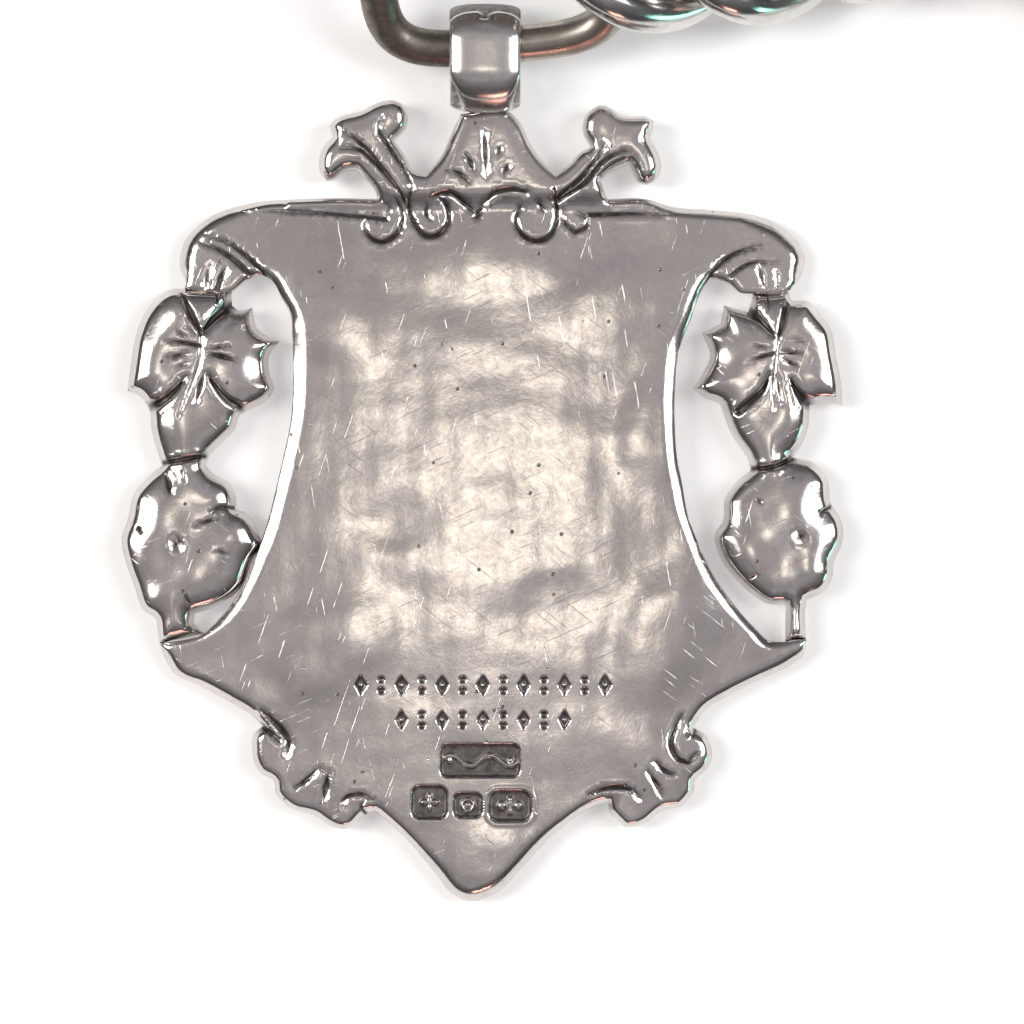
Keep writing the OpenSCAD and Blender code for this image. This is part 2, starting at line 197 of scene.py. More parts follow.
def mesh_points(loop, cuts, step, fine):
    """Points to triangulate: the outline, rows inside it, rows along the cuts, and a grid that is
    finer in some boxes (centre, half size)."""
    prev, nxt = np.roll(loop, 1, 0), np.roll(loop, -1, 0)
    tangent = nxt - prev
    tangent /= np.maximum(np.linalg.norm(tangent, axis=1), 1e-9)[:, None]
    area = (loop[:, 0] * nxt[:, 1] - nxt[:, 0] * loop[:, 1]).sum() / 2
    normal = np.stack([-tangent[:, 1], tangent[:, 0]], 1) * np.sign(area)
    layers = [loop]
    for off in EDGE_ROWS:
        ring = loop + normal * off
        ring = ring[inside(ring, loop)]
        d, _ = distance_to(ring, loop)
        layers.append(ring[d > 0.94 * off])
    rows = []
    for path, widths, _ in cuts:
        t = np.linspace(0, 1, len(path))
        tan = np.gradient(path, axis=0)
        tan /= np.maximum(np.linalg.norm(tan, axis=1), 1e-9)[:, None]
        side = np.stack([-tan[:, 1], tan[:, 0]], 1)
        w = width_along(widths, t)[:, None]
        for k in (-1.4, -0.9, -0.45, 0, 0.45, 0.9, 1.4):
            rows.append(path + side * w * k)
    lo, hi = loop.min(0), loop.max(0)
    xs, ys = np.arange(lo[0], hi[0], step), np.arange(lo[1], hi[1], step)
    grid = np.stack(np.meshgrid(xs, ys), -1).reshape(-1, 2)
    grid[:, 0] += 0.5 * step * (np.round((grid[:, 1] - lo[1]) / step) % 2)
    grid = grid[inside(grid, loop)]
    d, _ = distance_to(grid, loop)
    grid = grid[d > EDGE_ROWS[-1] + 0.45 * step]
    if rows:
        rows = np.concatenate(rows)
        rows = rows[inside(rows, loop)]
        d, _ = distance_to(rows, loop)
        rows = rows[d > 0.05]
        cell = 0.05
        keys = np.round(rows / cell).astype(int)
        _, first = np.unique(keys, axis=0, return_index=True)
        rows = rows[np.sort(first)]
        for path, widths, _ in cuts:
            reach = max(widths) * 1.4 + 0.5 * step
            near = ((grid > path.min(0) - reach) & (grid < path.max(0) + reach)).all(1)
            d = np.full(len(grid), 9.0)
            if near.any():
                d[near], _ = distance_to(grid[near], path, closed=False)
            grid = grid[d > reach]
        layers.append(rows)
    for centre, half in fine:
        grid = grid[(np.abs(grid - centre) > half).any(1)]
        x, y = (np.arange(-h, h + 0.001, FINE_STEP) for h in half)
        box = np.stack(np.meshgrid(x, y), -1).reshape(-1, 2)
        box[:, 0] += 0.5 * FINE_STEP * (np.round(box[:, 1] / FINE_STEP) % 2)
        layers.append(box + centre)
    layers.append(grid)
    points = np.concatenate(layers)
    keys = np.round(points / 0.03).astype(int)
    _, first = np.unique(keys, axis=0, return_index=True)
    first = np.sort(np.union1d(first, np.arange(len(loop))))
    return points[first], len(loop)


EDGE_ROWS = (0.05, 0.12, 0.22, 0.34, 0.5)
OUTLINE_STEP = 0.14


def relief(name, outline, top, bottom, cuts, step, fine=()):
    """A closed solid over an outline. top and bottom give height and darkness at each point."""
    loop = smooth_curve(outline, OUTLINE_STEP)
    ready = prepare_cuts(cuts)
    points, edge_count = mesh_points(loop, ready, step, fine)
    edges = [(i, (i + 1) % edge_count) for i in range(edge_count)]
    flat, _, tris, _, _, _ = delaunay_2d_cdt([Vector(p) for p in points], edges, [], 1, 1e-7)
    flat = np.array([tuple(p) for p in flat])
    d, _ = distance_to(flat, loop)
    d[d < 1e-5] = 0
    z_top, dark_top = top(flat, d, ready)
    z_bottom, dark_bottom = bottom(d)
    count = len(flat)
    verts = np.concatenate([np.column_stack([flat, z_top]), np.column_stack([flat, z_bottom])])
    faces = []
    used = {}
    for tri in tris:
        a, b, c = tri
        pa, pb, pc = flat[a], flat[b], flat[c]
        if (pb[0] - pa[0]) * (pc[1] - pa[1]) - (pb[1] - pa[1]) * (pc[0] - pa[0]) < 0:
            a, b, c = a, c, b
        faces.append((a, b, c))
        faces.append((a + count, c + count, b + count))
        for e in ((a, b), (b, c), (c, a)):
            used[e] = used.get(e, 0) + 1
    for (a, b) in list(used):
        if (b, a) not in used:
            faces.append((a, a + count, b + count, b))
    return new_object(name, verts, faces, np.concatenate([dark_top, dark_bottom]))


def tube(name, path, frames, profile, tarnish_and_painted_light):
    """Sweeps a closed profile round a loop. frames gives the two cross directions at each point."""
    n, m = len(path), len(profile)
    verts = np.concatenate([p + profile[:, :1] * u + profile[:, 1:] * v
                            for p, (u, v) in zip(path, frames)])
    faces = []
    for i in range(n):
        k = (i + 1) % n
        for j in range(m):
            q = (j + 1) % m
            faces.append((i * m + j, i * m + q, k * m + q, k * m + j))
    return new_object(name, verts, faces, tarnish_and_painted_light)


def loop_frames(path, centre):
    """Cross directions of a closed wire: away from its centre, and square to that."""
    ahead = np.roll(path, -1, 0) - np.roll(path, 1, 0)
    ahead /= np.linalg.norm(ahead, axis=1)[:, None]
    out = path - centre
    out -= (out * ahead).sum(1)[:, None] * ahead
    out /= np.linalg.norm(out, axis=1)[:, None]
    return list(zip(out, np.cross(ahead, out)))


def circle_profile(r, sides):
    a = np.linspace(0, 2 * np.pi, sides, endpoint=False)
    return np.stack([r * np.cos(a), r * np.sin(a)], 1)


def lathe(name, profile, place, sides=48, tarnish_and_painted_light=None):
    """Turns a closed or axis-to-axis profile of (along, radius) round the local X axis."""
    verts, faces, dark = [], [], []
    rows = []
    for k, (x, r) in enumerate(profile):
        level = 0 if tarnish_and_painted_light is None else tarnish_and_painted_light[k]
        if r < 1e-6:
            rows.append([len(verts)])
            verts.append((x, 0, 0))
            dark.append(level)
            continue
        row = []
        for j in range(sides):
            a = 2 * math.pi * j / sides
            row.append(len(verts))
            verts.append((x, r * math.cos(a), r * math.sin(a)))
            dark.append(level)
        rows.append(row)
    for a, b in zip(rows, rows[1:]):
        for j in range(sides):
            k = (j + 1) % sides
            if len(a) == 1:
                faces.append((a[0], b[k], b[j]))
            elif len(b) == 1:
                faces.append((a[j], a[k], b[0]))
            else:
                faces.append((a[j], a[k], b[k], b[j]))
    verts = place(np.array(verts))
    return new_object(name, verts, faces, dark)


def turn_z(points, degrees):
    a = math.radians(degrees)
    out = points.copy()
    out[:, 0] = points[:, 0] * math.cos(a) - points[:, 1] * math.sin(a)
    out[:, 1] = points[:, 0] * math.sin(a) + points[:, 1] * math.cos(a)
    return out


def turn_x(points, degrees):
    a = math.radians(degrees)
    out = points.copy()
    out[:, 1] = points[:, 1] * math.cos(a) - points[:, 2] * math.sin(a)
    out[:, 2] = points[:, 1] * math.sin(a) + points[:, 2] * math.cos(a)
    return out


def turn_y(points, degrees):
    a = math.radians(degrees)
    out = points.copy()
    out[:, 0] = points[:, 0] * math.cos(a) + points[:, 2] * math.sin(a)
    out[:, 2] = -points[:, 0] * math.sin(a) + points[:, 2] * math.cos(a)
    return out


# ---------------------------------------------------------------- materials
def node(tree, kind, **values):
    made = tree.nodes.new(kind)
    for key, value in values.items():
        if hasattr(made, key):
            setattr(made, key, value)
        else:
            made.inputs[key.replace("_", " ")].default_value = value
    return made


def ramp(tree, source, stops):
    made = tree.nodes.new("ShaderNodeValToRGB")
    elements = made.color_ramp.elements
    while len(elements) < len(stops):
        elements.new(0.5)
    for element, (at, colour) in zip(elements, stops):
        element.position = at
        element.color = (*colour, 1) if len(colour) == 3 else colour
    tree.links.new(source, made.inputs["Fac"])
    return made.outputs["Color"]


def mix(tree, factor, a, b, blend="MIX"):
    made = tree.nodes.new("ShaderNodeMix")
    made.data_type = "RGBA"
    made.blend_type = blend
    for socket, value in ((made.inputs[0], factor), (made.inputs[6], a), (made.inputs[7], b)):
        if isinstance(value, (int, float)):
            socket.default_value = value
        elif isinstance(value, tuple):
            socket.default_value = (*value, 1)
        else:
            tree.links.new(value, socket)
    return made.outputs[2]


def math_node(tree, operation, a, b=None, clamp=False):
    made = tree.nodes.new("ShaderNodeMath")
    made.operation = operation
    made.use_clamp = clamp
    for socket, value in zip(made.inputs, (a, b)):
        if value is None:
            continue
        if isinstance(value, (int, float)):
            socket.default_value = value
        else:
            tree.links.new(value, socket)
    return made.outputs[0]


def mapped(tree, coords, scale, turn=0.0, shift=(0, 0, 0)):
    """Turned first and then scaled, so that streaks run along the turned axis."""
    made = tree.nodes.new("ShaderNodeMapping")
    made.vector_type = "TEXTURE"
    made.inputs["Scale"].default_value = [1 / k for k in scale]
    made.inputs["Rotation"].default_value = (0, 0, math.radians(turn))
    made.inputs["Location"].default_value = shift
    tree.links.new(coords, made.inputs["Vector"])
    return made.outputs["Vector"]


def noise(tree, vector, scale, detail, rough):
    made = node(tree, "ShaderNodeTexNoise", Scale=scale, Detail=detail, Roughness=rough)
    tree.links.new(vector, made.inputs["Vector"])
    return made.outputs["Fac"]


# Dark colour for grime and tarnish, also used for the painted shade and painted dark reflection
# laid on through the vertex darkness.
GRIME_AND_PAINTED_LIGHT = (0.055, 0.045, 0.04)


def silver_material(name, tint, shade, rough, scratches=1.0, wear=0.03):
    """Worn silver: cloudy colour, fine scratches in several directions, pits, grime in the cuts,
    and painted shade and a painted dark reflection where a piece's vertex darkness asks for them.
    """
    material = bpy.data.materials.new(name)
    material.use_nodes = True
    tree = material.node_tree
    tree.nodes.clear()
    out = tree.nodes.new("ShaderNodeOutputMaterial")
    shader = tree.nodes.new("ShaderNodeBsdfPrincipled")
    tree.links.new(shader.outputs[0], out.inputs["Surface"])
    shader.inputs["Metallic"].default_value = 1.0
    place = tree.nodes.new("ShaderNodeTexCoord").outputs["Object"]
    mm = mapped(tree, place, (1000, 1000, 1000))

    cloud = ramp(tree, noise(tree, mm, 0.22, 5, 0.6), [(0.35, (0, 0, 0)), (0.68, (1, 1, 1))])
    mottle = noise(tree, mm, 2.6, 6, 0.65)
    lines = None
    for turn, shift, limit in ((24, 0, 0.69), (-38, 3, 0.70), (71, 7, 0.71), (-80, 11, 0.72)):
        streak = noise(tree, mapped(tree, mm, (0.4, 13, 2), turn, (shift, shift, 0)), 1.0, 2, 0.5)
        line = ramp(tree, streak, [(limit, (0, 0, 0)), (limit + 0.05, (1, 1, 1))])
        lines = line if lines is None else math_node(tree, "MAXIMUM", lines, line)
    cells = tree.nodes.new("ShaderNodeTexVoronoi")
    cells.inputs["Scale"].default_value = 0.9
    tree.links.new(mm, cells.inputs["Vector"])
    pit = ramp(tree, cells.outputs["Distance"], [(0.03, (1, 1, 1)), (0.075, (0, 0, 0))])

    # Vertex darkness: tarnish in cuts and stamps, painted shade and a painted dark reflection; pits
    # add to it.
    attribute = tree.nodes.new("ShaderNodeAttribute")
    attribute.attribute_name = "tarnish_and_painted_light"
    tarnish_and_painted_light = attribute.outputs["Fac"]
    grime_and_painted_light = math_node(tree, "MULTIPLY", tarnish_and_painted_light, math_node(tree, "ADD", mottle, 0.55), clamp=True)
    grime_and_painted_light = math_node(tree, "MAXIMUM", grime_and_painted_light, math_node(tree, "MULTIPLY", pit, 0.55))

    colour = mix(tree, cloud, tint, shade)
    colour = mix(tree, math_node(tree, "MULTIPLY", mottle, 0.35), colour, GRIME_AND_PAINTED_LIGHT, "MULTIPLY")
    colour = mix(tree, grime_and_painted_light, colour, GRIME_AND_PAINTED_LIGHT)
    tree.links.new(colour, shader.inputs["Base Color"])

    span = rough[1] - rough[0]
    roughness = math_node(tree, "MULTIPLY_ADD", mottle, span)
    roughness.node.inputs[2].default_value = rough[0]
    roughness = math_node(tree, "ADD", roughness, math_node(tree, "MULTIPLY", grime_and_painted_light, 0.3))
    scored = math_node(tree, "MULTIPLY", lines, 0.04 * scratches)
    roughness = math_node(tree, "ADD", roughness, scored)
    tree.links.new(roughness, shader.inputs["Roughness"])

    height = math_node(tree, "MULTIPLY", lines, -0.08 * scratches)
    height = math_node(tree, "ADD", height, math_node(tree, "MULTIPLY", pit, -1.5))
    height = math_node(tree, "ADD", height, math_node(tree, "MULTIPLY", mottle, 0.2))
    bump = node(tree, "ShaderNodeBump", Strength=1.0, Distance=wear * MM)
    tree.links.new(height, bump.inputs["Height"])
    tree.links.new(bump.outputs["Normal"], shader.inputs["Normal"])
    return material


FOB_SILVER = silver_material("fob_silver", (0.80, 0.755, 0.735), (0.71, 0.675, 0.665),
                             (0.08, 0.22))
CHAIN_SILVER = silver_material("chain_silver", (0.80, 0.79, 0.77), (0.68, 0.68, 0.66),
                               (0.10, 0.24), 0.6, 0.015)
RING_SILVER = silver_material("ring_silver", (0.66, 0.61, 0.55), (0.46, 0.40, 0.34),
                              (0.18, 0.34), 0.6, 0.02)
BRIGHT_SILVER = silver_material("bright_silver", (0.84, 0.82, 0.80), (0.74, 0.72, 0.70),
                                (0.12, 0.24), 0.8, 0.015)
SPRING_STEEL = silver_material("spring_steel", (0.56, 0.57, 0.60), (0.44, 0.45, 0.48),
                               (0.2, 0.35), 0.8)

# ---------------------------------------------------------------- fob outlines
PLATE_TOP_LEFT = [(-4.6, 12.95), (-6.5, 13.0), (-8.0, 12.95), (-9.5, 12.9), (-10.5, 12.7),
                  (-11.2, 12.5), (-12.0, 12.1), (-12.5, 11.7), (-12.9, 11.2), (-13.1, 10.6),
                  (-13.15, 10.2), (-13.05, 9.8), (-12.85, 9.4), (-12.9, 9.1)]
PLATE_LEFT_EDGE = [(-10.9, 9.0), (-10.2, 9.5), (-9.6, 9.7), (-9.2, 9.5), (-8.7, 8.7), (-8.3, 7.9),
                   (-8.25, 7.2), (-8.2, 5.0), (-8.3, 3.5), (-8.6, 2.0), (-8.95, 0.5),
                   (-9.3, -0.9), (-9.9, -2.6), (-10.6, -4.1), (-11.3, -5.0), (-12.1, -5.75)]
PLATE_BOTTOM_LEFT = [(-14.0, -6.2), (-13.8, -6.8), (-13.4, -7.45), (-12.3, -8.0), (-11.0, -8.7),
                     (-10.0, -9.3), (-9.55, -9.75), (-9.95, -10.1), (-10.0, -10.7),
                     (-9.95, -11.2), (-9.7, -11.7), (-9.05, -12.15), (-9.0, -12.6), (-8.7, -13.0),
                     (-8.3, -13.3), (-7.3, -13.6), (-6.8, -13.95), (-6.4, -14.15), (-6.0, -14.2),
                     (-5.6, -14.0), (-5.2, -13.6), (-4.7, -13.4), (-4.0, -14.0), (-3.0, -15.0),
                     (-2.1, -16.1), (-1.35, -17.0), (-0.9, -17.25), (-0.4, -17.3)]
PLATE_BOTTOM_RIGHT = [(0.2, -17.1), (0.6, -16.9), (1.5, -16.0), (2.5, -14.9), (3.5, -14.0),
                      (4.5, -13.3), (5.35, -13.0), (5.35, -13.3), (5.8, -13.85), (6.1, -14.1),
                      (6.5, -14.1), (6.9, -13.95), (7.7, -13.35), (8.5, -13.2), (8.8, -12.9),
                      (9.05, -12.5), (9.05, -12.15), (9.6, -11.6), (9.8, -11.2), (9.8, -10.7),
                      (9.6, -10.2), (9.0, -9.8), (9.5, -9.1), (10.6, -8.4), (12.0, -7.7),
                      (13.3, -7.1), (13.7, -6.8), (13.9, -6.0)]
PLATE_RIGHT_EDGE = [(13.0, -6.1), (12.3, -6.05), (11.65, -5.5), (10.6, -4.3), (9.8, -3.1),
                    (9.2, -1.85), (8.75, -0.6), (8.5, 0.8), (8.35, 1.5), (8.2, 3.1), (8.2, 4.7),
                    (8.4, 6.5), (8.6, 7.1), (8.9, 7.8), (9.1, 8.4), (9.4, 9.1), (9.75, 9.6),
                    (10.6, 9.3), (11.0, 8.95), (11.6, 8.9)]
PLATE_TOP_RIGHT = [(13.1, 9.0), (13.5, 9.4), (13.75, 9.9), (13.85, 10.3), (13.7, 10.9),
                   (13.3, 11.4), (12.7, 11.9), (12.0, 12.2), (10.0, 12.5), (8.0, 12.65),
                   (7.0, 12.95), (5.3, 12.95)]
RIGHT_TRUMPET = [(5.0, 13.7), (5.4, 14.1), (6.25, 14.5), (6.6, 13.7), (7.0, 13.6), (7.4, 13.8),
                 (7.6, 14.2), (7.55, 14.7), (7.1, 15.6), (7.25, 15.9), (7.3, 16.3), (7.0, 16.5),
                 (6.5, 16.5), (5.9, 16.55), (5.5, 16.85), (5.0, 17.0), (4.6, 16.8), (4.3, 16.4),
                 (4.25, 15.9), (4.6, 15.2), (4.2, 15.0), (3.6, 14.4)]
PALMETTE = [(3.1, 14.0), (2.6, 14.45), (2.0, 15.3), (1.5, 16.3), (1.2, 16.6), (-1.0, 16.6),
            (-1.35, 15.85), (-1.9, 14.7), (-2.5, 14.0)]
LEFT_TRUMPET = [(-3.0, 14.1), (-3.4, 14.8), (-3.9, 15.5), (-3.35, 16.1), (-3.3, 16.6),
                (-3.5, 17.0), (-3.9, 17.2), (-4.4, 17.15), (-5.4, 16.7), (-5.9, 16.6),
                (-6.4, 16.4), (-6.65, 16.1), (-6.5, 15.6), (-6.9, 15.2), (-7.1, 14.6),
                (-7.05, 14.1), (-6.8, 13.75), (-6.5, 13.8), (-5.9, 14.2), (-5.5, 14.25),
                (-5.2, 13.9), (-4.65, 13.2)]
FOB_OUTLINE = (PLATE_TOP_LEFT + PLATE_LEFT_EDGE + PLATE_BOTTOM_LEFT + PLATE_BOTTOM_RIGHT
               + PLATE_RIGHT_EDGE + PLATE_TOP_RIGHT + RIGHT_TRUMPET + PALMETTE + LEFT_TRUMPET)

LEFT_SPRAY = [(-12.9, 9.1), (-13.5, 9.1), (-13.9, 8.9), (-14.6, 8.15), (-15.0, 7.2),
              (-15.25, 5.8), (-15.4, 4.7), (-14.95, 4.55), (-14.5, 4.0), (-14.35, 3.0),
              (-14.0, 1.8), (-13.9, 1.5), (-14.6, 0.9), (-15.15, 0.2), (-15.35, -0.7),
              (-15.65, -1.7), (-15.45, -2.7), (-15.1, -3.7), (-14.7, -4.75), (-14.15, -5.15),
              (-14.1, -5.6), (-14.0, -6.2), (-12.1, -5.75), (-12.55, -5.3), (-12.5, -4.9),
              (-11.6, -4.6), (-10.9, -4.2), (-10.5, -3.8), (-10.0, -2.6), (-9.6, -1.8),
              (-9.75, -1.4), (-10.0, -0.9), (-10.4, -0.5), (-10.75, -0.4), (-10.7, -0.1),
              (-10.95, 0.7), (-11.7, 1.15), (-12.0, 1.5), (-11.9, 1.8), (-11.2, 2.6),
              (-10.8, 3.0), (-10.5, 3.7), (-10.1, 3.9), (-9.3, 4.4), (-9.1, 4.7), (-9.3, 5.6),
              (-9.3, 6.2), (-8.8, 6.85), (-9.5, 7.15), (-9.8, 7.4), (-10.0, 8.3), (-10.6, 8.2),
              (-10.9, 8.4), (-10.9, 9.0)]
RIGHT_SPRAY = [(13.1, 9.0), (13.3, 8.6), (14.0, 8.55), (14.4, 8.1), (14.95, 7.4), (15.15, 6.3),
               (15.4, 5.0), (15.45, 4.05), (14.8, 4.2), (14.05, 4.1), (13.95, 3.0), (13.5, 2.1),
               (13.3, 1.85), (14.2, 1.6), (14.8, 0.9), (14.95, -0.1), (15.4, -0.9), (15.5, -1.5),
               (15.4, -2.0), (15.05, -2.8), (15.05, -3.2), (14.6, -4.0), (13.9, -4.3),
               (13.85, -4.8), (13.9, -6.0), (13.0, -6.1), (13.0, -4.5), (12.3, -4.5),
               (11.6, -4.1), (10.95, -3.5), (10.2, -2.5), (9.95, -1.5), (10.3, -0.9),
               (10.4, 0.1), (10.9, 0.8), (11.5, 1.3), (11.4, 1.7), (10.7, 2.8), (10.3, 3.8),
               (10.2, 4.1), (9.5, 4.4), (9.0, 4.8), (9.5, 5.6), (9.75, 6.2), (9.4, 7.2),
               (10.2, 7.6), (10.35, 8.4), (11.4, 8.1), (11.6, 8.9)]

# ---------------------------------------------------------------- fob engraving
FINE = 0.08


def taper(width):
    return (0.02, width, 0.02)


def swell(width):
    return (width, width, 0.02)


FACE_CUTS = [
    ([(-4.2, 12.05), (-5, 12.15), (-6.5, 12.3), (-8, 12.4), (-9, 12.45), (-10.6, 12.4)],
     (0.09, 0.06, 0.02), 0.10),
    ([(4.5, 12.25), (6.2, 12.3), (8.3, 12.25)], (0.12, 0.07, 0.02), 0.10),
    ([(-12.0, 11.45), (-11.0, 11.05), (-10.5, 10.7), (-9.9, 10.2), (-9.3, 9.5), (-8.75, 8.6),
      (-8.5, 8.0)], (0.03, 0.10, 0.05), 0.14),
    ([(-12.1, 11.05), (-11.5, 10.8), (-11.0, 10.5), (-10.5, 10.1), (-10.1, 9.7)],
     (0.03, 0.10, 0.12), 0.14),
    ([(11.9, 10.9), (11.3, 10.8), (10.7, 10.55), (10.2, 10.2), (9.8, 9.75), (9.35, 9.0)],
     (0.03, 0.10, 0.08), 0.14),
    ([(12.6, 10.2), (11.7, 10.25), (11.0, 9.95), (10.6, 9.6)], (0.03, 0.07, 0.09), 0.10),
    ([(-11.75, 10.2), (-11.95, 9.5), (-12.05, 8.95)], taper(0.09), 0.12),
    ([(-11.1, 10.0), (-11.35, 9.5), (-11.5, 9.0)], (0.03, 0.12, 0.12), 0.14),
    ([(11.7, 10.4), (11.95, 9.6), (12.15, 9.0)], taper(0.08), 0.12),
    ([(12.5, 10.0), (12.65, 9.5), (12.6, 9.1)], taper(0.07), 0.10),
    # volutes under the crest
    ([(-3.1, 13.4), (-3.25, 12.7), (-3.0, 11.9), (-2.5, 11.35), (-2.0, 11.4), (-1.55, 11.9),
      (-1.6, 12.6), (-2.05, 13.1)], (0.06, 0.13, 0.09), 0.16),
    ([(-2.4, 12.65), (-2.5, 12.35), (-2.35, 12.1)], (0.04, 0.12, 0.06), 0.10),
    ([(1.6, 12.6), (1.35, 12.1), (1.55, 11.5), (2.1, 11.15), (2.7, 11.25), (3.1, 11.9),
      (3.1, 12.7), (3.0, 13.4)], (0.06, 0.12, 0.08), 0.16),
    ([(2.1, 12.95), (2.4, 12.65), (2.65, 12.3)], taper(0.10), 0.12),
    ([(-4.3, 12.0), (-4.0, 12.5), (-4.3, 12.8)], (0.05, 0.05, 0.03), 0.08),
    ([(-3.8, 12.95), (-3.5, 12.1), (-3.8, 11.4), (-4.5, 11.1), (-5.0, 11.4), (-5.15, 11.75),
      (-5.05, 12.1)], (0.05, 0.11, 0.05), 0.14),
    ([(3.35, 12.6), (3.4, 12.0), (3.9, 11.5), (4.4, 11.75), (4.5, 12.1), (4.1, 12.3)],
     (0.04, 0.09, 0.05), 0.12),
    # palmette
    ([(0.0, 16.0), (0.05, 15.0), (0.1, 14.0)], (0.02, 0.14, 0.04), 0.12),
    ([(-0.9, 14.85), (-0.6, 14.5), (-0.4, 14.0)], taper(0.12), 0.11),
    ([(-1.6, 14.2), (-1.0, 13.95), (-0.55, 13.5)], taper(0.12), 0.11),
    ([(0.75, 15.2), (0.65, 15.0), (0.5, 14.8)], taper(0.10), 0.10),
    ([(1.1, 14.45), (0.95, 14.2), (0.75, 14.0)], taper(0.11), 0.10),
    ([(-2.1, 13.05), (-1.6, 13.2), (-0.9, 12.8), (-0.35, 12.3)], (0.12, 0.17, 0.05), 0.16),
    ([(-0.35, 12.5), (-0.3, 12.2), (-0.05, 12.6)], taper(0.16), 0.14),
    ([(-0.05, 12.7), (0.5, 13.2), (1.2, 13.35), (1.9, 13.2)], (0.05, 0.15, 0.05), 0.15),
    # trumpets
    ([(-6.1, 15.95), (-5.0, 15.0), (-4.6, 14.5), (-3.5, 13.0), (-3.3, 12.6)],
     (0.03, 0.13, 0.06), 0.14),
    ([(-4.3, 16.5), (-4.55, 16.0), (-4.1, 15.2), (-3.5, 14.3), (-3.1, 13.6)],
     (0.03, 0.11, 0.06), 0.13),
    ([(-6.1, 15.1), (-5.3, 15.0), (-4.8, 14.6), (-4.0, 13.6)], (0.03, 0.12, 0.03), 0.12),
    ([(3.05, 12.9), (4.1, 13.75), (5.35, 15.45)], (0.16, 0.12, 0.02), 0.17),
    ([(3.1, 12.8), (4.4, 13.7), (5.1, 14.5), (5.7, 14.85), (6.35, 14.9)],
     (0.12, 0.12, 0.03), 0.15),
    # lower left scrolls
    ([(-9.75, -8.95), (-9.2, -9.4), (-8.7, -9.9), (-8.4, -10.4), (-8.5, -10.95)],
     (0.03, 0.16, 0.05), 0.18),
    ([(-9.6, -9.75), (-9.1, -10.1), (-8.7, -10.45)], (0.16, 0.12, 0.03), 0.2),
    ([(-7.0, -11.4), (-7.6, -12.0), (-8.25, -12.45)], taper(0.10), 0.13),
    ([(-6.7, -11.7), (-6.8, -12.3), (-6.95, -13.05)], taper(0.15), 0.15),
    ([(-4.8, -12.9), (-5.3, -12.65), (-5.9, -12.75), (-6.15, -13.05), (-5.95, -13.3)],
     (0.03, 0.10, 0.03), 0.12),
    ([(-5.1, -13.5), (-5.3, -13.2), (-5.15, -12.95)], (0.10, 0.07, 0.03), 0.12),
    # lower right scrolls
    ([(8.5, -9.3), (8.2, -9.9), (8.05, -10.5), (8.3, -11.1), (8.8, -11.3), (9.15, -10.9)],
     (0.03, 0.14, 0.04), 0.16),
    ([(9.1, -9.85), (9.0, -10.1), (8.85, -10.2)], (0.10, 0.08, 0.03), 0.14),
    ([(7.3, -11.2), (7.7, -11.6), (8.3, -11.85)], taper(0.11), 0.13),
    ([(6.95, -11.6), (7.4, -12.2), (7.65, -12.9)], taper(0.11), 0.13),
    ([(4.4, -12.75), (5.2, -12.4), (5.9, -12.35), (6.4, -12.5), (6.7, -12.85)],
     (0.02, 0.12, 0.03), 0.14),
]

LEFT_SPRAY_CUTS = [
    ([(-12.15, 6.6), (-12.9, 6.75), (-13.9, 6.85)], swell(FINE), 0.10),
    ([(-12.7, 6.9), (-13.3, 7.3)], taper(0.07), 0.08),
    ([(-12.3, 7.05), (-12.9, 7.5)], taper(0.06), 0.08),
    ([(-12.6, 6.3), (-13.7, 6.1)], taper(FINE), 0.10),
    ([(-12.7, 5.9), (-13.3, 5.7)], taper(0.06), 0.08),
    ([(-12.0, 6.5), (-10.8, 6.65)], taper(0.07), 0.09),
    ([(-11.9, 6.3), (-11.2, 6.15), (-10.7, 6.0)], (0.02, 0.13, 0.05), 0.12),
    ([(-12.15, 7.3), (-12.2, 6.2), (-12.5, 5.2), (-12.8, 4.4), (-13.1, 3.6)],
     (0.05, 0.07, 0.03), 0.10),
    ([(-12.0, 5.5), (-12.2, 4.8), (-12.4, 4.1)], taper(0.14), 0.12),
    ([(-13.0, 8.9), (-12.6, 8.0), (-12.15, 7.1)], (0.05, 0.20, 0.08), 0.24),
    ([(-10.95, 8.35), (-11.6, 7.8), (-12.1, 7.2)], (0.30, 0.20, 0.05), 0.30),
    ([(-11.5, 8.95), (-11.45, 8.3)], taper(0.10), 0.12),
    ([(-12.8, 5.3), (-13.3, 4.7), (-13.9, 4.2), (-14.3, 4.05)], (0.03, 0.18, 0.25), 0.24),
    ([(-12.0, 5.6), (-11.6, 5.0), (-11.0, 4.3), (-10.5, 4.0)], (0.03, 0.15, 0.22), 0.22),
    ([(-13.8, 1.6), (-12.9, 1.75), (-12.05, 1.9)], (0.14, 0.16, 0.14), 0.22),
    ([(-13.75, 1.2), (-13.55, 0.7), (-13.5, 0.2)], taper(0.16), 0.14),
    ([(-12.9, 1.25), (-12.8, 0.7)], taper(0.06), 0.08),
    ([(-12.4, -1.1), (-11.3, -0.7)], taper(FINE), 0.09),
    ([(-11.6, -2.1), (-10.9, -2.4)], taper(0.07), 0.08),
    ([(-15.0, -1.1), (-14.6, -1.4)], taper(0.09), 0.09),
    ([(-12.9, -4.0), (-12.6, -4.6)], taper(0.08), 0.09),
    ([(-10.8, -0.35), (-11.3, -0.3), (-11.8, -0.6)], (0.10, 0.08, 0.02), 0.12),
    ([(-13.21, -1.88), (-13.19, -1.92)], (0.28, 0.28, 0.28), 0.20),
]
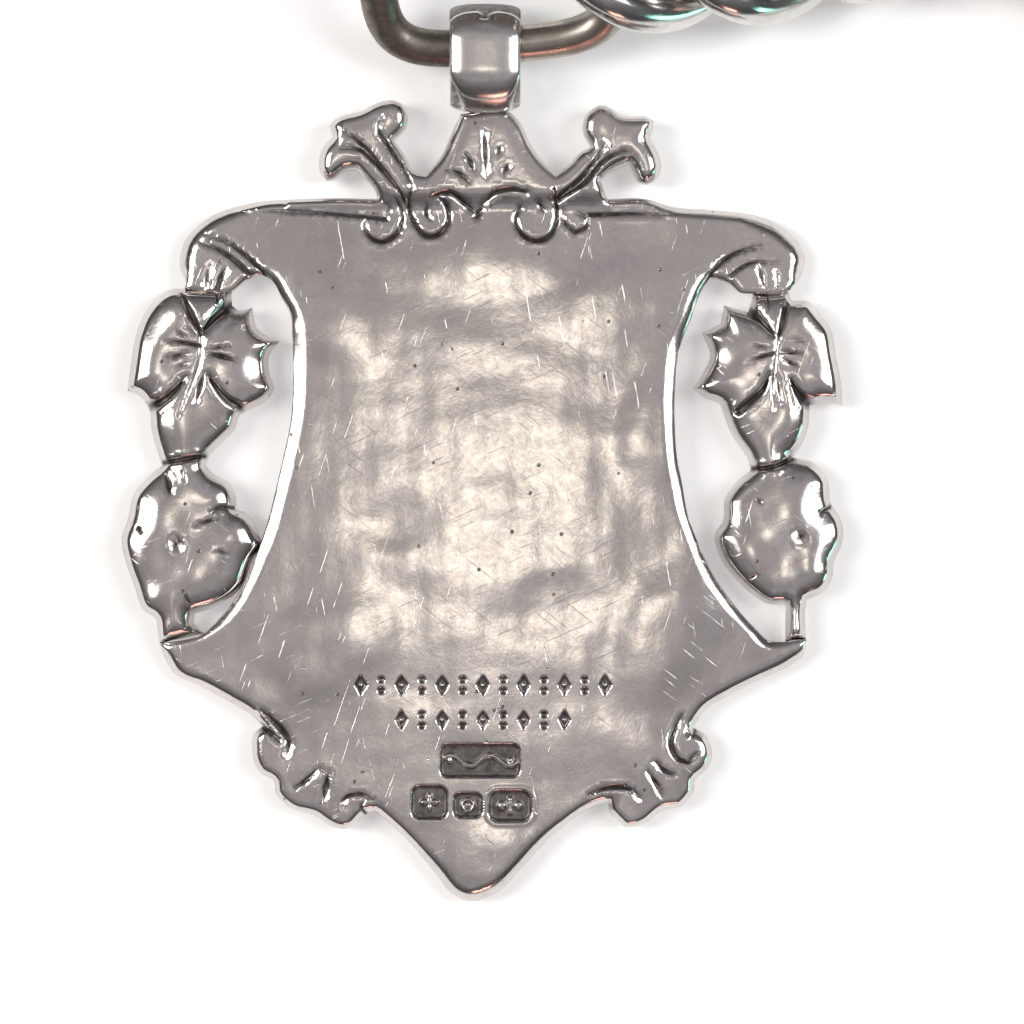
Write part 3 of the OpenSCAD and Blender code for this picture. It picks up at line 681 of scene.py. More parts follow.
RIGHT_SPRAY_CUTS = [
    ([(12.5, 6.3), (11.9, 6.15), (11.3, 5.9)], swell(FINE), 0.10),
    ([(12.6, 6.35), (13.9, 6.3)], taper(FINE), 0.10),
    ([(12.7, 6.1), (13.6, 5.7)], taper(FINE), 0.09),
    ([(13.2, 6.85), (13.7, 6.85)], taper(0.06), 0.08),
    ([(12.4, 6.5), (11.4, 6.7)], taper(0.06), 0.08),
    ([(12.6, 6.9), (12.5, 6.0), (12.4, 5.0), (12.45, 3.6)], (0.05, 0.07, 0.02), 0.10),
    ([(12.5, 5.5), (12.8, 4.0)], taper(0.08), 0.10),
    ([(13.0, 5.4), (13.3, 3.8)], taper(0.06), 0.08),
    ([(12.3, 5.5), (12.0, 4.8), (11.5, 4.3), (10.9, 3.8)], (0.03, 0.15, 0.2), 0.22),
    ([(13.1, 5.3), (13.5, 4.6), (13.95, 4.15)], (0.03, 0.16, 0.25), 0.24),
    ([(11.5, 8.1), (12.0, 7.6), (12.5, 7.0)], (0.25, 0.18, 0.05), 0.26),
    ([(12.95, 8.3), (12.8, 7.5), (12.6, 6.9)], (0.12, 0.15, 0.05), 0.20),
    ([(12.15, 8.9), (12.25, 8.2)], taper(0.08), 0.10),
    ([(11.6, 1.35), (12.3, 1.4), (13.3, 1.75)], (0.14, 0.16, 0.14), 0.22),
    ([(11.6, 0.1), (12.0, -0.2)], taper(0.07), 0.09),
    ([(11.8, -3.1), (11.3, -3.5)], taper(0.08), 0.09),
    ([(14.9, -0.3), (14.3, -0.6)], (0.12, 0.08, 0.02), 0.12),
    ([(13.59, -1.58), (13.61, -1.62)], (0.26, 0.26, 0.26), 0.18),
]

# Bevel at places round the fob's edge: x, y, width, drop
EDGE_FALLS = [
    (-8.3, 6, 0.85, 0.30), (-8.4, 2.5, 0.8, 0.30), (-9.3, -1, 0.75, 0.30),
    (-10.8, -4.3, 0.6, 0.30), (8.2, 5, 0.7, 0.30), (8.4, 1.5, 0.65, 0.30), (9.4, -2.5, 0.6, 0.30),
    (10.9, -4.7, 0.5, 0.30), (-9.2, 9.4, 0.5, 0.35), (9.4, 9.2, 0.5, 0.35),
    (-13.1, 10.4, 0.9, 0.9), (-12, 12.1, 0.8, 0.8), (-8, 12.95, 0.42, 0.8), (-5, 12.95, 0.35, 0.8),
    (7, 12.95, 0.45, 0.8), (10, 12.5, 0.6, 0.8), (12.8, 11.8, 1.0, 1.0), (13.8, 10.3, 0.8, 1.0),
    (-13.7, -6.9, 0.8, 1.0), (-11.5, -8.4, 0.75, 1.0), (-9.9, -10.8, 0.5, 0.9),
    (-8.8, -12.8, 0.45, 0.9), (-6.2, -14.1, 0.5, 0.9), (-3.5, -14.5, 0.55, 0.9),
    (-1.6, -16.7, 0.75, 1.0), (0, -17.2, 0.9, 1.0), (2, -15.5, 0.75, 1.0), (4.5, -13.3, 0.55, 0.9),
    (6.3, -14.1, 0.45, 0.9), (8.7, -13, 0.45, 0.9), (9.7, -11, 0.5, 0.9), (10.8, -8.3, 0.6, 1.0),
    (13.4, -7, 0.75, 1.0), (0, 16.6, 0.25, 0.35), (-1.6, 15.2, 0.3, 0.6), (1.9, 15.4, 0.32, 0.6),
    (-3.6, 15, 0.3, 0.7), (3.9, 14.7, 0.3, 0.7), (-4, 17.1, 0.4, 0.8), (-6.6, 16, 0.45, 0.8),
    (-7, 14.4, 0.5, 0.9), (5, 16.9, 0.4, 0.8), (7.2, 16.2, 0.45, 0.8), (7.5, 14.4, 0.5, 0.9),
    (-2.7, 14.0, 0.25, 0.6), (2.9, 14.2, 0.25, 0.6),
    (-12.4, 9.1, 0.3, 0.12), (-11.3, 9.0, 0.3, 0.12), (12.0, 8.95, 0.3, 0.12),
    (12.8, 9.0, 0.3, 0.12), (-13.5, -6.1, 0.3, 0.15), (-12.6, -5.9, 0.3, 0.15),
    (13.5, -6.05, 0.3, 0.15),
]


# The share of those drops and widths that is used
EDGE_SHARE, EDGE_REACH = 0.55, 0.75


def edge_fall(points, d):
    table = np.array(EDGE_FALLS)
    weight = 1 / (((points[:, None] - table[None, :, :2])**2).sum(2) + 0.15)**2
    weight /= weight.sum(1)[:, None]
    width, drop = EDGE_REACH * (weight @ table[:, 2]), weight @ table[:, 3]
    return EDGE_SHARE * drop * (1 - np.clip(d / width, 0, 1))**1.9


# Low swellings of the plate: centre, half sizes, turn in degrees, height
SWELLINGS = [
    (-6.8, 8.2, 2.9, 1.9, -48, 0.13), (6.0, 8.6, 3.0, 1.6, 12, 0.12),
    (7.4, 2.9, 1.6, 2.4, -8, 0.12), (7.9, -5.6, 1.7, 3.1, -24, 0.14),
    (-6.9, -6.4, 3.0, 1.9, 28, 0.14), (0.6, 10.6, 2.6, 1.6, 0, 0.09),
    (-10.6, -8.4, 1.8, 1.1, -25, 0.08), (3.0, -4.4, 2.2, 1.2, 12, -0.05),
    (-3.8, -0.9, 1.5, 1.1, 10, -0.04), (0.3, -15.6, 2.2, 1.6, 0, 0.10),
    (7.4, -11.2, 2.2, 1.4, -35, 0.08),
]


def face_waves(points):
    """The plate's shallow dome and its hand-finished unevenness."""
    x, y = points[:, 0], points[:, 1]
    wave = -0.0026 * (x**2 + 0.6 * (y - 0.5)**2)
    for cx, cy, rx, ry, turn, height in SWELLINGS:
        c, s = math.cos(math.radians(turn)), math.sin(math.radians(turn))
        u, v = (x - cx) * c + (y - cy) * s, (y - cy) * c - (x - cx) * s
        wave += height * np.exp(-((u / rx)**2 + (v / ry)**2)**1.7)
    wave += 0.012 * np.sin(0.75 * x + 1.0 * y + 2.0) * np.sin(0.9 * y - 0.5 * x + 1.0)
    wave += 0.009 * np.sin(1.25 * x - 0.5 * y + 0.6) * np.cos(0.35 * x + 1.1 * y)
    wave += 0.006 * np.sin(2.3 * x + 1.1 * y) * np.cos(1.9 * y - 1.3 * x + 0.6)
    wave += 0.0022 * np.sin(4.1 * x - 2.7 * y) * np.cos(3.3 * y + 2.9 * x + 1.2)
    return wave


# ---------------------------------------------------------------- stamps on the lower plate
def rounded_box(points, centre, half, r):
    q = np.abs(points - centre) - np.array(half) + r
    return np.linalg.norm(np.maximum(q, 0), axis=1) + np.minimum(q.max(1), 0) - r


MAKER_STAMP = ((-0.17, -11.2), (1.68, 0.7), 0.28)
ASSAY_STAMPS = [((-2.35, -13.0), (0.75, 0.7), 0.35), ((-0.7, -13.12), (0.6, 0.52), 0.3),
                ((1.12, -13.15), (0.88, 0.64), 0.4)]
LOZENGE_ROWS = [(-7.95, -5.3, 5.2, 13, 0.43), (-9.45, -3.55, 3.45, 9, 0.40)]


def ring_shape(points, centre, r, w):
    return np.abs(np.linalg.norm(points - centre, axis=1) - r) - w


def stamps(points):
    """Depth and darkness of the struck ornament: two lozenge rows and four punched cartouches."""
    depth = np.zeros(len(points))
    dark = np.zeros(len(points))
    for y, x0, x1, count, size in LOZENGE_ROWS:
        for k, x in enumerate(np.linspace(x0, x1, count)):
            q = np.abs(points - (x, y))
            if k % 2 == 0:
                shape = q[:, 0] / 0.62 + q[:, 1] - size
                shape = np.maximum(shape, 0.10 - (q[:, 0] / 0.62 + q[:, 1]))
            else:
                shape = np.minimum(np.hypot(q[:, 0], q[:, 1] - 0.24), 9) - 0.13
            cut = smoothstep(0.5 - shape / 0.09)
            depth = np.maximum(depth, 0.11 * cut)
            depth -= 0.012 * np.exp(-((shape - 0.12) / 0.06)**2)
            dark = np.maximum(dark, 0.85 * cut)
    for k, (centre, half, r) in enumerate([MAKER_STAMP] + ASSAY_STAMPS):
        shape = rounded_box(points, centre, half, r)
        floor = smoothstep(0.5 - shape / 0.12)
        depth = np.maximum(depth, 0.20 * floor)
        depth -= 0.025 * np.exp(-((shape - 0.16) / 0.08)**2)
        q = points - centre
        if k == 0:
            figure = np.minimum(np.abs(q[:, 1] - 0.22 * np.sin(3.7 * q[:, 0])) - 0.10,
                                np.hypot(np.abs(q[:, 0]) - 1.3, q[:, 1]) - 0.12)
        elif k == 1:
            angle = np.arctan2(q[:, 1], q[:, 0])
            figure = np.hypot(q[:, 0], q[:, 1]) - 0.26 - 0.13 * np.cos(4 * angle)
        elif k == 2:
            figure = np.minimum(ring_shape(points, centre, 0.24, 0.06),
                                np.hypot(q[:, 0], q[:, 1]) - 0.07)
        else:
            figure = np.minimum(np.hypot(np.abs(q[:, 0]) - 0.36, q[:, 1]) - 0.17,
                                np.maximum(np.abs(q[:, 0]) - 0.1, np.abs(q[:, 1]) - 0.36))
        raised = smoothstep(0.5 - figure / 0.09) * (shape < -0.1)
        depth -= 0.11 * raised
        dark = np.maximum(dark, floor * (0.78 - 0.62 * raised))
    return depth, dark


def fob_top(points, d, cuts):
    fall = edge_fall(points, d)
    depth, dark = cut_depth(points, cuts)
    struck, struck_dark = stamps(points)
    crest = smoothstep((points[:, 1] - 12.4) / 1.0) * (np.abs(points[:, 0]) < 8.5)
    puff = 0.16 * crest * (1 - (1 - np.clip(d / 0.9, 0, 1))**2)
    z = FACE_Z - 0.02 + face_waves(points) * (1 - crest) + puff * 0.8 - fall - depth - struck
    return z, np.maximum(dark, struck_dark)


FOB_FLOOR = 0.5


def fob_bottom(d):
    """The front side, seen from below: a rounded edge, a rim line and a soft dome."""
    t = np.clip(d / 0.45, 0, 1)
    rim = np.exp(-((d - 0.95) / 0.12)**2)
    z = FOB_FLOOR + 0.22 * (1 - t)**2 + 0.08 * rim
    return z, 0.8 * rim


SPRAY_BASE = 0.95


def puffed(rise, width):
    def top(points, d, cuts):
        depth, dark = cut_depth(points, cuts)
        bevel = 0.55 * (1 - (1 - np.clip(d / 0.3, 0, 1))**2)
        t = np.clip((d - 0.15) / width, 0, 1)
        z = SPRAY_BASE + bevel + rise * np.sqrt(np.clip(1 - (1 - t)**2, 0, 1))
        z += 0.03 * np.sin(2.1 * points[:, 0] + 1.2 * points[:, 1])
        z += 0.03 * np.cos(1.6 * points[:, 1] - 1.9 * points[:, 0] + 0.5)
        return z - depth, dark
    return top


# The back of a spray with a rounded edge; its darkness is painted shade, darkest at the edge, so
# the side wall darkens towards the bottom.
def spray_bottom(d):
    t = np.clip(d / 0.5, 0, 1)
    return FOB_FLOOR + 0.3 * (1 - t)**2, 0.3 * (1 - t)


def build_fob():
    step = 0.15
    boxes = [(centre, (half[0] + 0.3, half[1] + 0.3)) for centre, half, _ in
             [MAKER_STAMP] + ASSAY_STAMPS]
    boxes += [(((x0 + x1) / 2, y), ((x1 - x0) / 2 + 0.4, size + 0.1))
              for y, x0, x1, _, size in LOZENGE_ROWS]
    fob = relief("shield_plate", FOB_OUTLINE, fob_top, fob_bottom, FACE_CUTS, step=step,
                 fine=boxes)
    dress(fob, "fob", "fob_silver", FOB_SILVER, "shield_plate", "crest")
    for name, outline, cuts in (("left_spray", LEFT_SPRAY, LEFT_SPRAY_CUTS),
                                ("right_spray", RIGHT_SPRAY, RIGHT_SPRAY_CUTS)):
        spray = relief(name, outline, puffed(0.50, 1.35), spray_bottom, cuts, step=step * 0.8)
        dress(spray, "fob", "fob_silver", FOB_SILVER, name)


def signed_power(value, power):
    return np.sign(value) * np.abs(value)**power


# ---------------------------------------------------------------- front disc and bail
def build_front_disc():
    """The applied disc on the side that lies down: milled rim, bead ring and a plain rosette."""
    radii = np.concatenate([[0.0], np.linspace(0.25, 5.4, 28), np.linspace(5.5, 7.5, 34)])
    sides = 240
    a = np.linspace(0, 2 * np.pi, sides, endpoint=False)
    verts, faces, dark = [(0, 0, 0.16)], [], [0.0]
    for r in radii[1:]:
        z = 0.10 + 0.10 * smoothstep((r - 3.0) / 2.5) + 0 * a
        petal = smoothstep(0.5 - (r - 2.2 - 2.2 * np.abs(np.cos(4 * a))**0.7) / 0.3)
        z -= 0.07 * petal * smoothstep((r - 0.6) / 0.4)
        groove = np.exp(-((r - 5.75) / 0.10)**2) + 0 * a
        bead = np.exp(-((r - 6.3) / 0.24)**2) * (0.55 + 0.45 * np.cos(60 * a))
        z += 0.16 * groove - 0.16 * bead
        rim = smoothstep((r - 6.7) / 0.2)
        z = z * (1 - rim) + rim * (0.0 + 0.03 * (np.cos(120 * a) > 0))
        edge = smoothstep((r - 7.3) / 0.2)
        z = np.maximum(z * (1 - edge) + 0.16 * edge, 0.0)
        start = len(verts)
        verts += [(r * math.cos(t), r * math.sin(t), h) for t, h in zip(a, z)]
        dark += list(0.8 * np.clip(groove, 0, 1) * (1 - rim))
        if start == 1:
            faces += [(0, 1 + (j + 1) % sides, 1 + j) for j in range(sides)]
        else:
            prev = start - sides
            faces += [(prev + j, prev + (j + 1) % sides, start + (j + 1) % sides, start + j)
                      for j in range(sides)]
    prev = len(verts) - sides
    start = len(verts)
    verts += [(7.5 * math.cos(t), 7.5 * math.sin(t), 0.56) for t in a]
    # Painted shade on the disc's edge wall, darker towards the plate it sits under.
    dark += [0.4] * sides
    faces += [(prev + j, prev + (j + 1) % sides, start + (j + 1) % sides, start + j)
              for j in range(sides)]
    faces.append(tuple(range(start, start + sides)))
    disc = new_object("front_disc", verts, faces, dark)
    dress(disc, "fob", "bright_silver", BRIGHT_SILVER, "front_disc")


BAIL_Y = (16.6, 21.35)
BAIL_Z = (0.15, 3.95)
BAIL_BEND = 1.8
BAIL_T = 0.65
BAIL_X = 0.05


def bail_path(step):
    """The strap's outer face seen from its end: points (y, z) and the way out at each."""
    y0, y1 = BAIL_Y[0] + BAIL_BEND, BAIL_Y[1] - BAIL_BEND
    z0, z1 = BAIL_Z[0] + BAIL_BEND, BAIL_Z[1] - BAIL_BEND
    points, outs = [], []
    for centre, first in (((y1, z1), 0), ((y0, z1), 90), ((y0, z0), 180), ((y1, z0), 270)):
        count = int(BAIL_BEND * math.pi / 2 / step)
        for k in range(count + 1):
            a = math.radians(first + 90 * k / count)
            out = np.array([math.cos(a), math.sin(a)])
            points.append(np.array(centre) + BAIL_BEND * out)
            outs.append(out)
        if first in (90, 270):
            continue
        straight = y1 - y0
        extra = int(straight / step)
        for k in range(1, extra):
            out = outs[-1]
            shift = -k / extra * straight if first == 0 else k / extra * straight
            points.append(np.array(centre) + BAIL_BEND * out + (shift, 0))
            outs.append(out)
    return points, outs


def build_bail():
    columns = 72
    a = np.linspace(0, 2 * np.pi, columns, endpoint=False)
    across = signed_power(np.cos(a), 0.62)
    through = 0.5 + 0.5 * signed_power(np.sin(a), 0.62)
    points, outs = bail_path(0.11)
    verts, faces, dark = [], [], []
    for p, out in zip(points, outs):
        root = smoothstep((18.2 - p[0]) / 1.7) * smoothstep((p[1] - 1.2) / 0.8)
        half = 1.52 - 0.40 * root
        x = BAIL_X + 0.07 * root + half * across
        level = through - 0.10 * (through > 0.5) * across**2
        depth = np.zeros(columns)
        stain_and_painted_light = np.zeros(columns)
        if p[0] > 19.6 and p[1] > 1.8:
            u = x - 0.1
            lobe = 20.83 - 0.46 * np.clip(1 - np.abs(u) / 0.34, 0, 1) - 0.25 * np.abs(u / 1.5)**4
            beyond = p[0] - lobe
            outer = smoothstep((through - 0.55) / 0.2)
            depth = 0.16 * smoothstep(beyond / 0.12) * outer
            depth -= 0.05 * np.exp(-((beyond + 0.12) / 0.12)**2) * outer
            stain_and_painted_light = 0.75 * smoothstep(beyond / 0.15) * outer
        inward = BAIL_T * (1 - level) + depth
        for k in range(columns):
            y, z = p - out * inward[k]
            verts.append((x[k], y, z))
            side = np.clip((abs(across[k]) - 0.93) / 0.07, 0, 1)
            # Painted shade on the strap's side edges and on its inner face; the recess beyond the
            # notch is darker as well.
            dark.append(max(stain_and_painted_light[k], 0.35 * side, 0.45 * (through[k] < 0.3)))
    n = len(points)
    for i in range(n):
        nxt = (i + 1) % n
        for j in range(columns):
            k = (j + 1) % columns
            faces.append((i * columns + j, nxt * columns + j, nxt * columns + k, i * columns + k))
    bail = new_object("bail", verts, faces, dark)
    dress(bail, "fob", "bright_silver", BRIGHT_SILVER, "bail")


# ---------------------------------------------------------------- rings and curb links
def place_at(centre, yaw, pitch=0.0, roll=0.0):
    def move(points):
        turned = turn_z(turn_y(turn_x(np.asarray(points, float), roll), pitch), yaw)
        return turned + np.array(centre)
    return move


def wire_loop(name, half, wire_r, twist, power, place, rings, sides, stain_and_painted_light=None):
    t = 2 * np.pi * (np.arange(rings) + 0.5) / rings
    x = half[0] * signed_power(np.cos(t), power)
    y = half[1] * signed_power(np.sin(t), power)
    turn = np.radians(twist / 2) * x / half[0]
    path = np.stack([x, y * np.cos(turn), y * np.sin(turn)], 1)
    gap = np.cumsum(np.r_[0, np.linalg.norm(np.diff(path, axis=0, append=path[:1]), axis=1)])
    even = np.linspace(0, gap[-1], rings, endpoint=False)
    closed = np.vstack([path, path[:1]])
    path = np.stack([np.interp(even, gap, closed[:, k]) for k in range(3)], 1)
    # Darkness along the wire from the given function: tarnish, painted shade and a painted dark
    # reflection, as each piece sets them.
    tarnish_and_painted_light = np.zeros((rings, sides)) if stain_and_painted_light is None else stain_and_painted_light(path, sides)
    frames = loop_frames(place(path), place(np.zeros((1, 3)))[0])
    return tube(name, place(path), frames, circle_profile(wire_r, sides), tarnish_and_painted_light.ravel())


def round_ring(name, radius, wire_r, place, rings=96, sides=24):
    return wire_loop(name, (radius, radius), wire_r, 0, 1, place, rings, sides)


LINK_HALF = (3.5, 2.45)
LINK_R = 0.88
LINK_TWIST = 95
LINK_POWER = 2 / 2.4
LINK_PLAY = 0.16
RING_PLAY = 0.14


def heading(yaw, pitch=0.0):
    a, b = math.radians(yaw), math.radians(pitch)
    return np.array([math.cos(b) * math.cos(a), math.cos(b) * math.sin(a), -math.sin(b)])


def half_step(size):
    return size * (LINK_HALF[0] - LINK_R) - LINK_PLAY / 2


def to_ring(ring_wire, size):
    """From a link's centre to the wire of a ring that it hangs on."""
    return size * (LINK_HALF[0] - LINK_R) - ring_wire - RING_PLAY


# A link is (centre, yaw, pitch, roll, size)
def next_link(link, yaw, pitch, roll, size):
    centre, old_yaw, old_pitch, _, old_size = link
    ahead = half_step(old_size) * heading(old_yaw, old_pitch)
    return (centre + ahead + half_step(size) * heading(yaw, pitch), yaw, pitch, roll, size)


def hung_link(yaw, pitch, roll, size):
    """The first link of a run, hung on the far side of the junction ring."""
    hook = JUNCTION + JUNCTION_RADIUS * heading(yaw)
    return (hook + to_ring(JUNCTION_WIRE, size) * heading(yaw, pitch), yaw, pitch, roll, size)


def link_end_shade(path, sides):
    """Painted shade inside each end of a link, where its neighbours pass through."""
    ends = np.clip((np.abs(path[:, 0]) / LINK_HALF[0] - 0.6) / 0.3, 0, 1)
    a = np.linspace(0, 2 * np.pi, sides, endpoint=False)
    return 0.5 * ends[:, None] * np.clip(-np.cos(a) - 0.2, 0, 1)[None, :]


def build_link(name, link):
    centre, yaw, pitch, roll, size = link
    half = (LINK_HALF[0] * size, LINK_HALF[1] * size)
    loop = wire_loop(name, half, LINK_R * size, LINK_TWIST, LINK_POWER,
                     place_at(centre, yaw, pitch, roll), 72, 24, link_end_shade)
    dress(loop, name, "chain_silver", CHAIN_SILVER, name)


JUNCTION_RADIUS, JUNCTION_WIRE = 4.6, 0.6
MAIN_COUNT = 26
TAPER_FROM = 12
TAPER_TO = 0.8
TURN_PER_LINK = 7.6
FIRST_HEADING = 70
STEP_DOWN = (0, 1.5, 2, 2, 0.5)
ROLL_OUT = (-21, -12, -4)
RISE_FROM, RISE = 23, -1
TBAR_HEADING = -40

DROP_LINKS = [(np.array([7.09, 23.1, 4.4]), 1, 7, 3, 1.0)]
DROP_LINKS.append(next_link(DROP_LINKS[0], 9, 10, 12, 1.0))
DROP_LINKS.append(next_link(DROP_LINKS[1], 17, 8, 21, 1.0))
JUNCTION = (DROP_LINKS[2][0] + to_ring(JUNCTION_WIRE, 1) * heading(17, 8)
            + JUNCTION_RADIUS * heading(17))


def main_size(i):
    return 1 - (1 - TAPER_TO) * max(0, i - TAPER_FROM) / (MAIN_COUNT - TAPER_FROM)


def main_links():
    links = [hung_link(FIRST_HEADING, STEP_DOWN[0], ROLL_OUT[0], 1.0)]
    for i in range(2, MAIN_COUNT + 1):
        pitch = STEP_DOWN[i - 1] if i <= len(STEP_DOWN) else RISE if i >= RISE_FROM else 0
        roll = ROLL_OUT[i - 1] if i <= len(ROLL_OUT) else 0
        links.append(next_link(links[-1], FIRST_HEADING + TURN_PER_LINK * (i - 1), pitch, roll,
                               main_size(i)))
    return links


def ring_tarnish_and_reflection(path, sides):
    """The drop ring is brownish with tarnish where it isn't rubbed and bright beside the bail; past
    the seam near its right end it is painted darker, a painted dark reflection where the wire
    curves up.
    """
    x = path[:, 0]
    # The last term paints the dark reflection past the seam; the first two give the tarnish.
    tarnish_and_dark_reflection = 0.62 - 0.62 * smoothstep((x - 0.4) / 0.6) + 0.30 * smoothstep((x - 2.6) / 0.3)
    low = path[:, 1] < 0
    stain_and_painted_light = np.where(low, tarnish_and_dark_reflection, 0.45)
    return np.repeat(stain_and_painted_light[:, None], sides, 1)


RING_PIVOT = (0, 19.5, 2.05)
RING_TILT, RING_YAW = 35, 5.5
RING_WIRE = 0.8
RING_POWER = 2 / 4


def build_rings_and_links():
    rise = math.cos(math.radians(RING_TILT))
    tilted = place_at(RING_PIVOT, 0, 0, RING_TILT)
    laid = place_at((0.4, 3.3 / rise, 0), RING_YAW)
    ring = wire_loop("drop_ring", (5.03, 3.29 / rise), RING_WIRE, 0, RING_POWER,
                     lambda p: tilted(laid(p)), 160, 32, ring_tarnish_and_reflection)
    dress(ring, "drop_ring", "chain_silver", RING_SILVER, "drop_ring")
    junction = round_ring("junction_ring", JUNCTION_RADIUS, JUNCTION_WIRE, place_at(JUNCTION, 0),
                          128, 28)
    dress(junction, "junction_ring", "chain_silver", CHAIN_SILVER, "junction_ring")
    for i, link in enumerate(DROP_LINKS):
        build_link(f"drop_link_{i + 1}", link)
    for i, link in enumerate(main_links()):
        build_link(f"chain_link_{i + 1:02d}", link)
    first = hung_link(TBAR_HEADING, 1, -24, 0.9)
    second = next_link(first, TBAR_HEADING + 8, 2, -18, 0.8)
    build_link("tbar_link_1", first)
    build_link("tbar_link_2", second)
    return second


# ---------------------------------------------------------------- T-bar
EYE_RADIUS, EYE_WIRE = 1.8, 0.55
EYE_SLACK = 0.1
BAR_R, BAR_LENGTH = 1.0, 30.0
COLLAR_LENGTH = 4.8
TABLE_GAP = 0.02
COLLAR_R = 1.28


def build_t_bar(last):
    yaw = last[1]
    eye = (last[0] + to_ring(EYE_WIRE, last[4]) * heading(yaw, last[2])
           + (EYE_RADIUS - EYE_SLACK) * heading(yaw))
    reach = EYE_RADIUS + BAR_R + 0.4
    pitch = math.degrees(math.asin((eye[2] - COLLAR_R - TABLE_GAP) / reach))
    bar_centre = eye + reach * heading(yaw, pitch)
    along_bar = place_at(bar_centre, yaw + 90)
    ring = round_ring("t_bar_eye", EYE_RADIUS, EYE_WIRE, place_at(eye, yaw, pitch, 90))
    dress(ring, "t_bar", "bright_silver", BRIGHT_SILVER)
    half = BAR_LENGTH / 2
    end = [(half + BAR_R * math.sin(a), BAR_R * math.cos(a))
           for a in np.linspace(0, math.pi / 2, 14)]
    end[-1] = (half + BAR_R, 0)
    side = [(x, BAR_R) for x in np.linspace(0.1, half - 1.9, 30)]
    groove = [(half - 1.5 + 0.16 * k, BAR_R - 0.10 * math.exp(-(k / 1.1)**2))
              for k in np.linspace(-2, 2, 13)]
    right = side + groove + end
    left = [(-x, r) for x, r in reversed(right)]
    profile = left + right
    dark = [0.8 * (r < BAR_R - 0.04) * (abs(x) < half) for x, r in profile]
    bar = lathe("t_bar", profile, along_bar, 64, dark)
    dress(bar, "t_bar", "bright_silver", BRIGHT_SILVER, "t_bar")
    h = COLLAR_LENGTH / 2
    rim = [(-h, BAR_R - 0.03), (-h, COLLAR_R - 0.08), (-h + 0.08, COLLAR_R), (-h + 0.42, COLLAR_R),
           (-h + 0.5, COLLAR_R - 0.10), (-h + 0.62, COLLAR_R - 0.10), (-h + 0.72, COLLAR_R - 0.03)]
    band = rim + [(-x, r) for x, r in reversed(rim)]
    dark = [0.8 if abs(r - COLLAR_R + 0.10) < 0.005 else 0.0 for x, r in band]
    collar = lathe("t_bar_collar", [(-h, 0)] + band + [(h, 0)], along_bar, 64, [0] + dark + [0])
    dress(collar, "t_bar", "bright_silver", BRIGHT_SILVER, "t_bar_collar")


# ---------------------------------------------------------------- swivel clip
BOW_RADIUS, BOW_WIRE = 2.4, 0.6
BOW_ROLL = -42.5
HOOK_CENTRE = 16.4
HOOK_HALF = (7.15, 4.55)
HINGE = (11.0, -3.0)
KNUCKLE_R = 1.4
LEVER_REACH = 9.0
NOSE_ANGLE = -58.8


def hook_path(first, last, count):
    a = np.radians(np.linspace(first, last, count))
    zero = 0 * a
    return np.stack([HOOK_CENTRE + HOOK_HALF[0] * np.cos(a), HOOK_HALF[1] * np.sin(a), zero], 1)


def swept_bar(name, path, half_wide, half_thick, place):
    """A rounded bar along a flat path, its section changing along it, with closed ends."""
    sides = 32
    a = np.linspace(0, 2 * np.pi, sides, endpoint=False)
    c, s = signed_power(np.cos(a), 0.75), signed_power(np.sin(a), 0.75)
    ahead = np.gradient(path, axis=0)
    ahead /= np.linalg.norm(ahead, axis=1)[:, None]
    side = np.stack([ahead[:, 1], -ahead[:, 0], 0 * ahead[:, 0]], 1)
    up = np.array([0.0, 0.0, 1.0])
    rows = [p + np.outer(w * c, u) + np.outer(t * s, up)
            for p, u, w, t in zip(path, side, half_wide, half_thick)]
    verts = place(np.concatenate(rows))
    faces = []
    for i in range(len(path) - 1):
        for j in range(sides):
            k = (j + 1) % sides
            faces.append((i * sides + j, (i + 1) * sides + j, (i + 1) * sides + k, i * sides + k))
    faces.append(tuple(range(sides)))
    faces.append(tuple((len(path) - 1) * sides + j for j in range(sides))[::-1])
    return new_object(name, verts, faces, np.zeros(len(verts)))


def rounded_ends(count, start, end, size, blunt=0.35):
    """Half sizes along a bar that rounds off over its first and last few rows."""
    t = np.linspace(0, 1, count)
    round_start = np.sqrt(np.clip(1 - (1 - np.clip(t / max(start, 1e-6), 0, 1))**2, 0, 1))
    round_end = np.sqrt(np.clip(1 - (1 - np.clip((1 - t) / max(end, 1e-6), 0, 1))**2, 0, 1))
    return size * np.maximum(blunt, np.minimum(round_start, round_end))


def disc_profile(half, r):
    edge = 0.12
    return [(-half, 0), (-half, r - edge), (-half + edge * 0.3, r - edge * 0.3),
            (-half + edge, r), (half - edge, r), (half - edge * 0.3, r - edge * 0.3),
            (half, r - edge), (half, 0)]


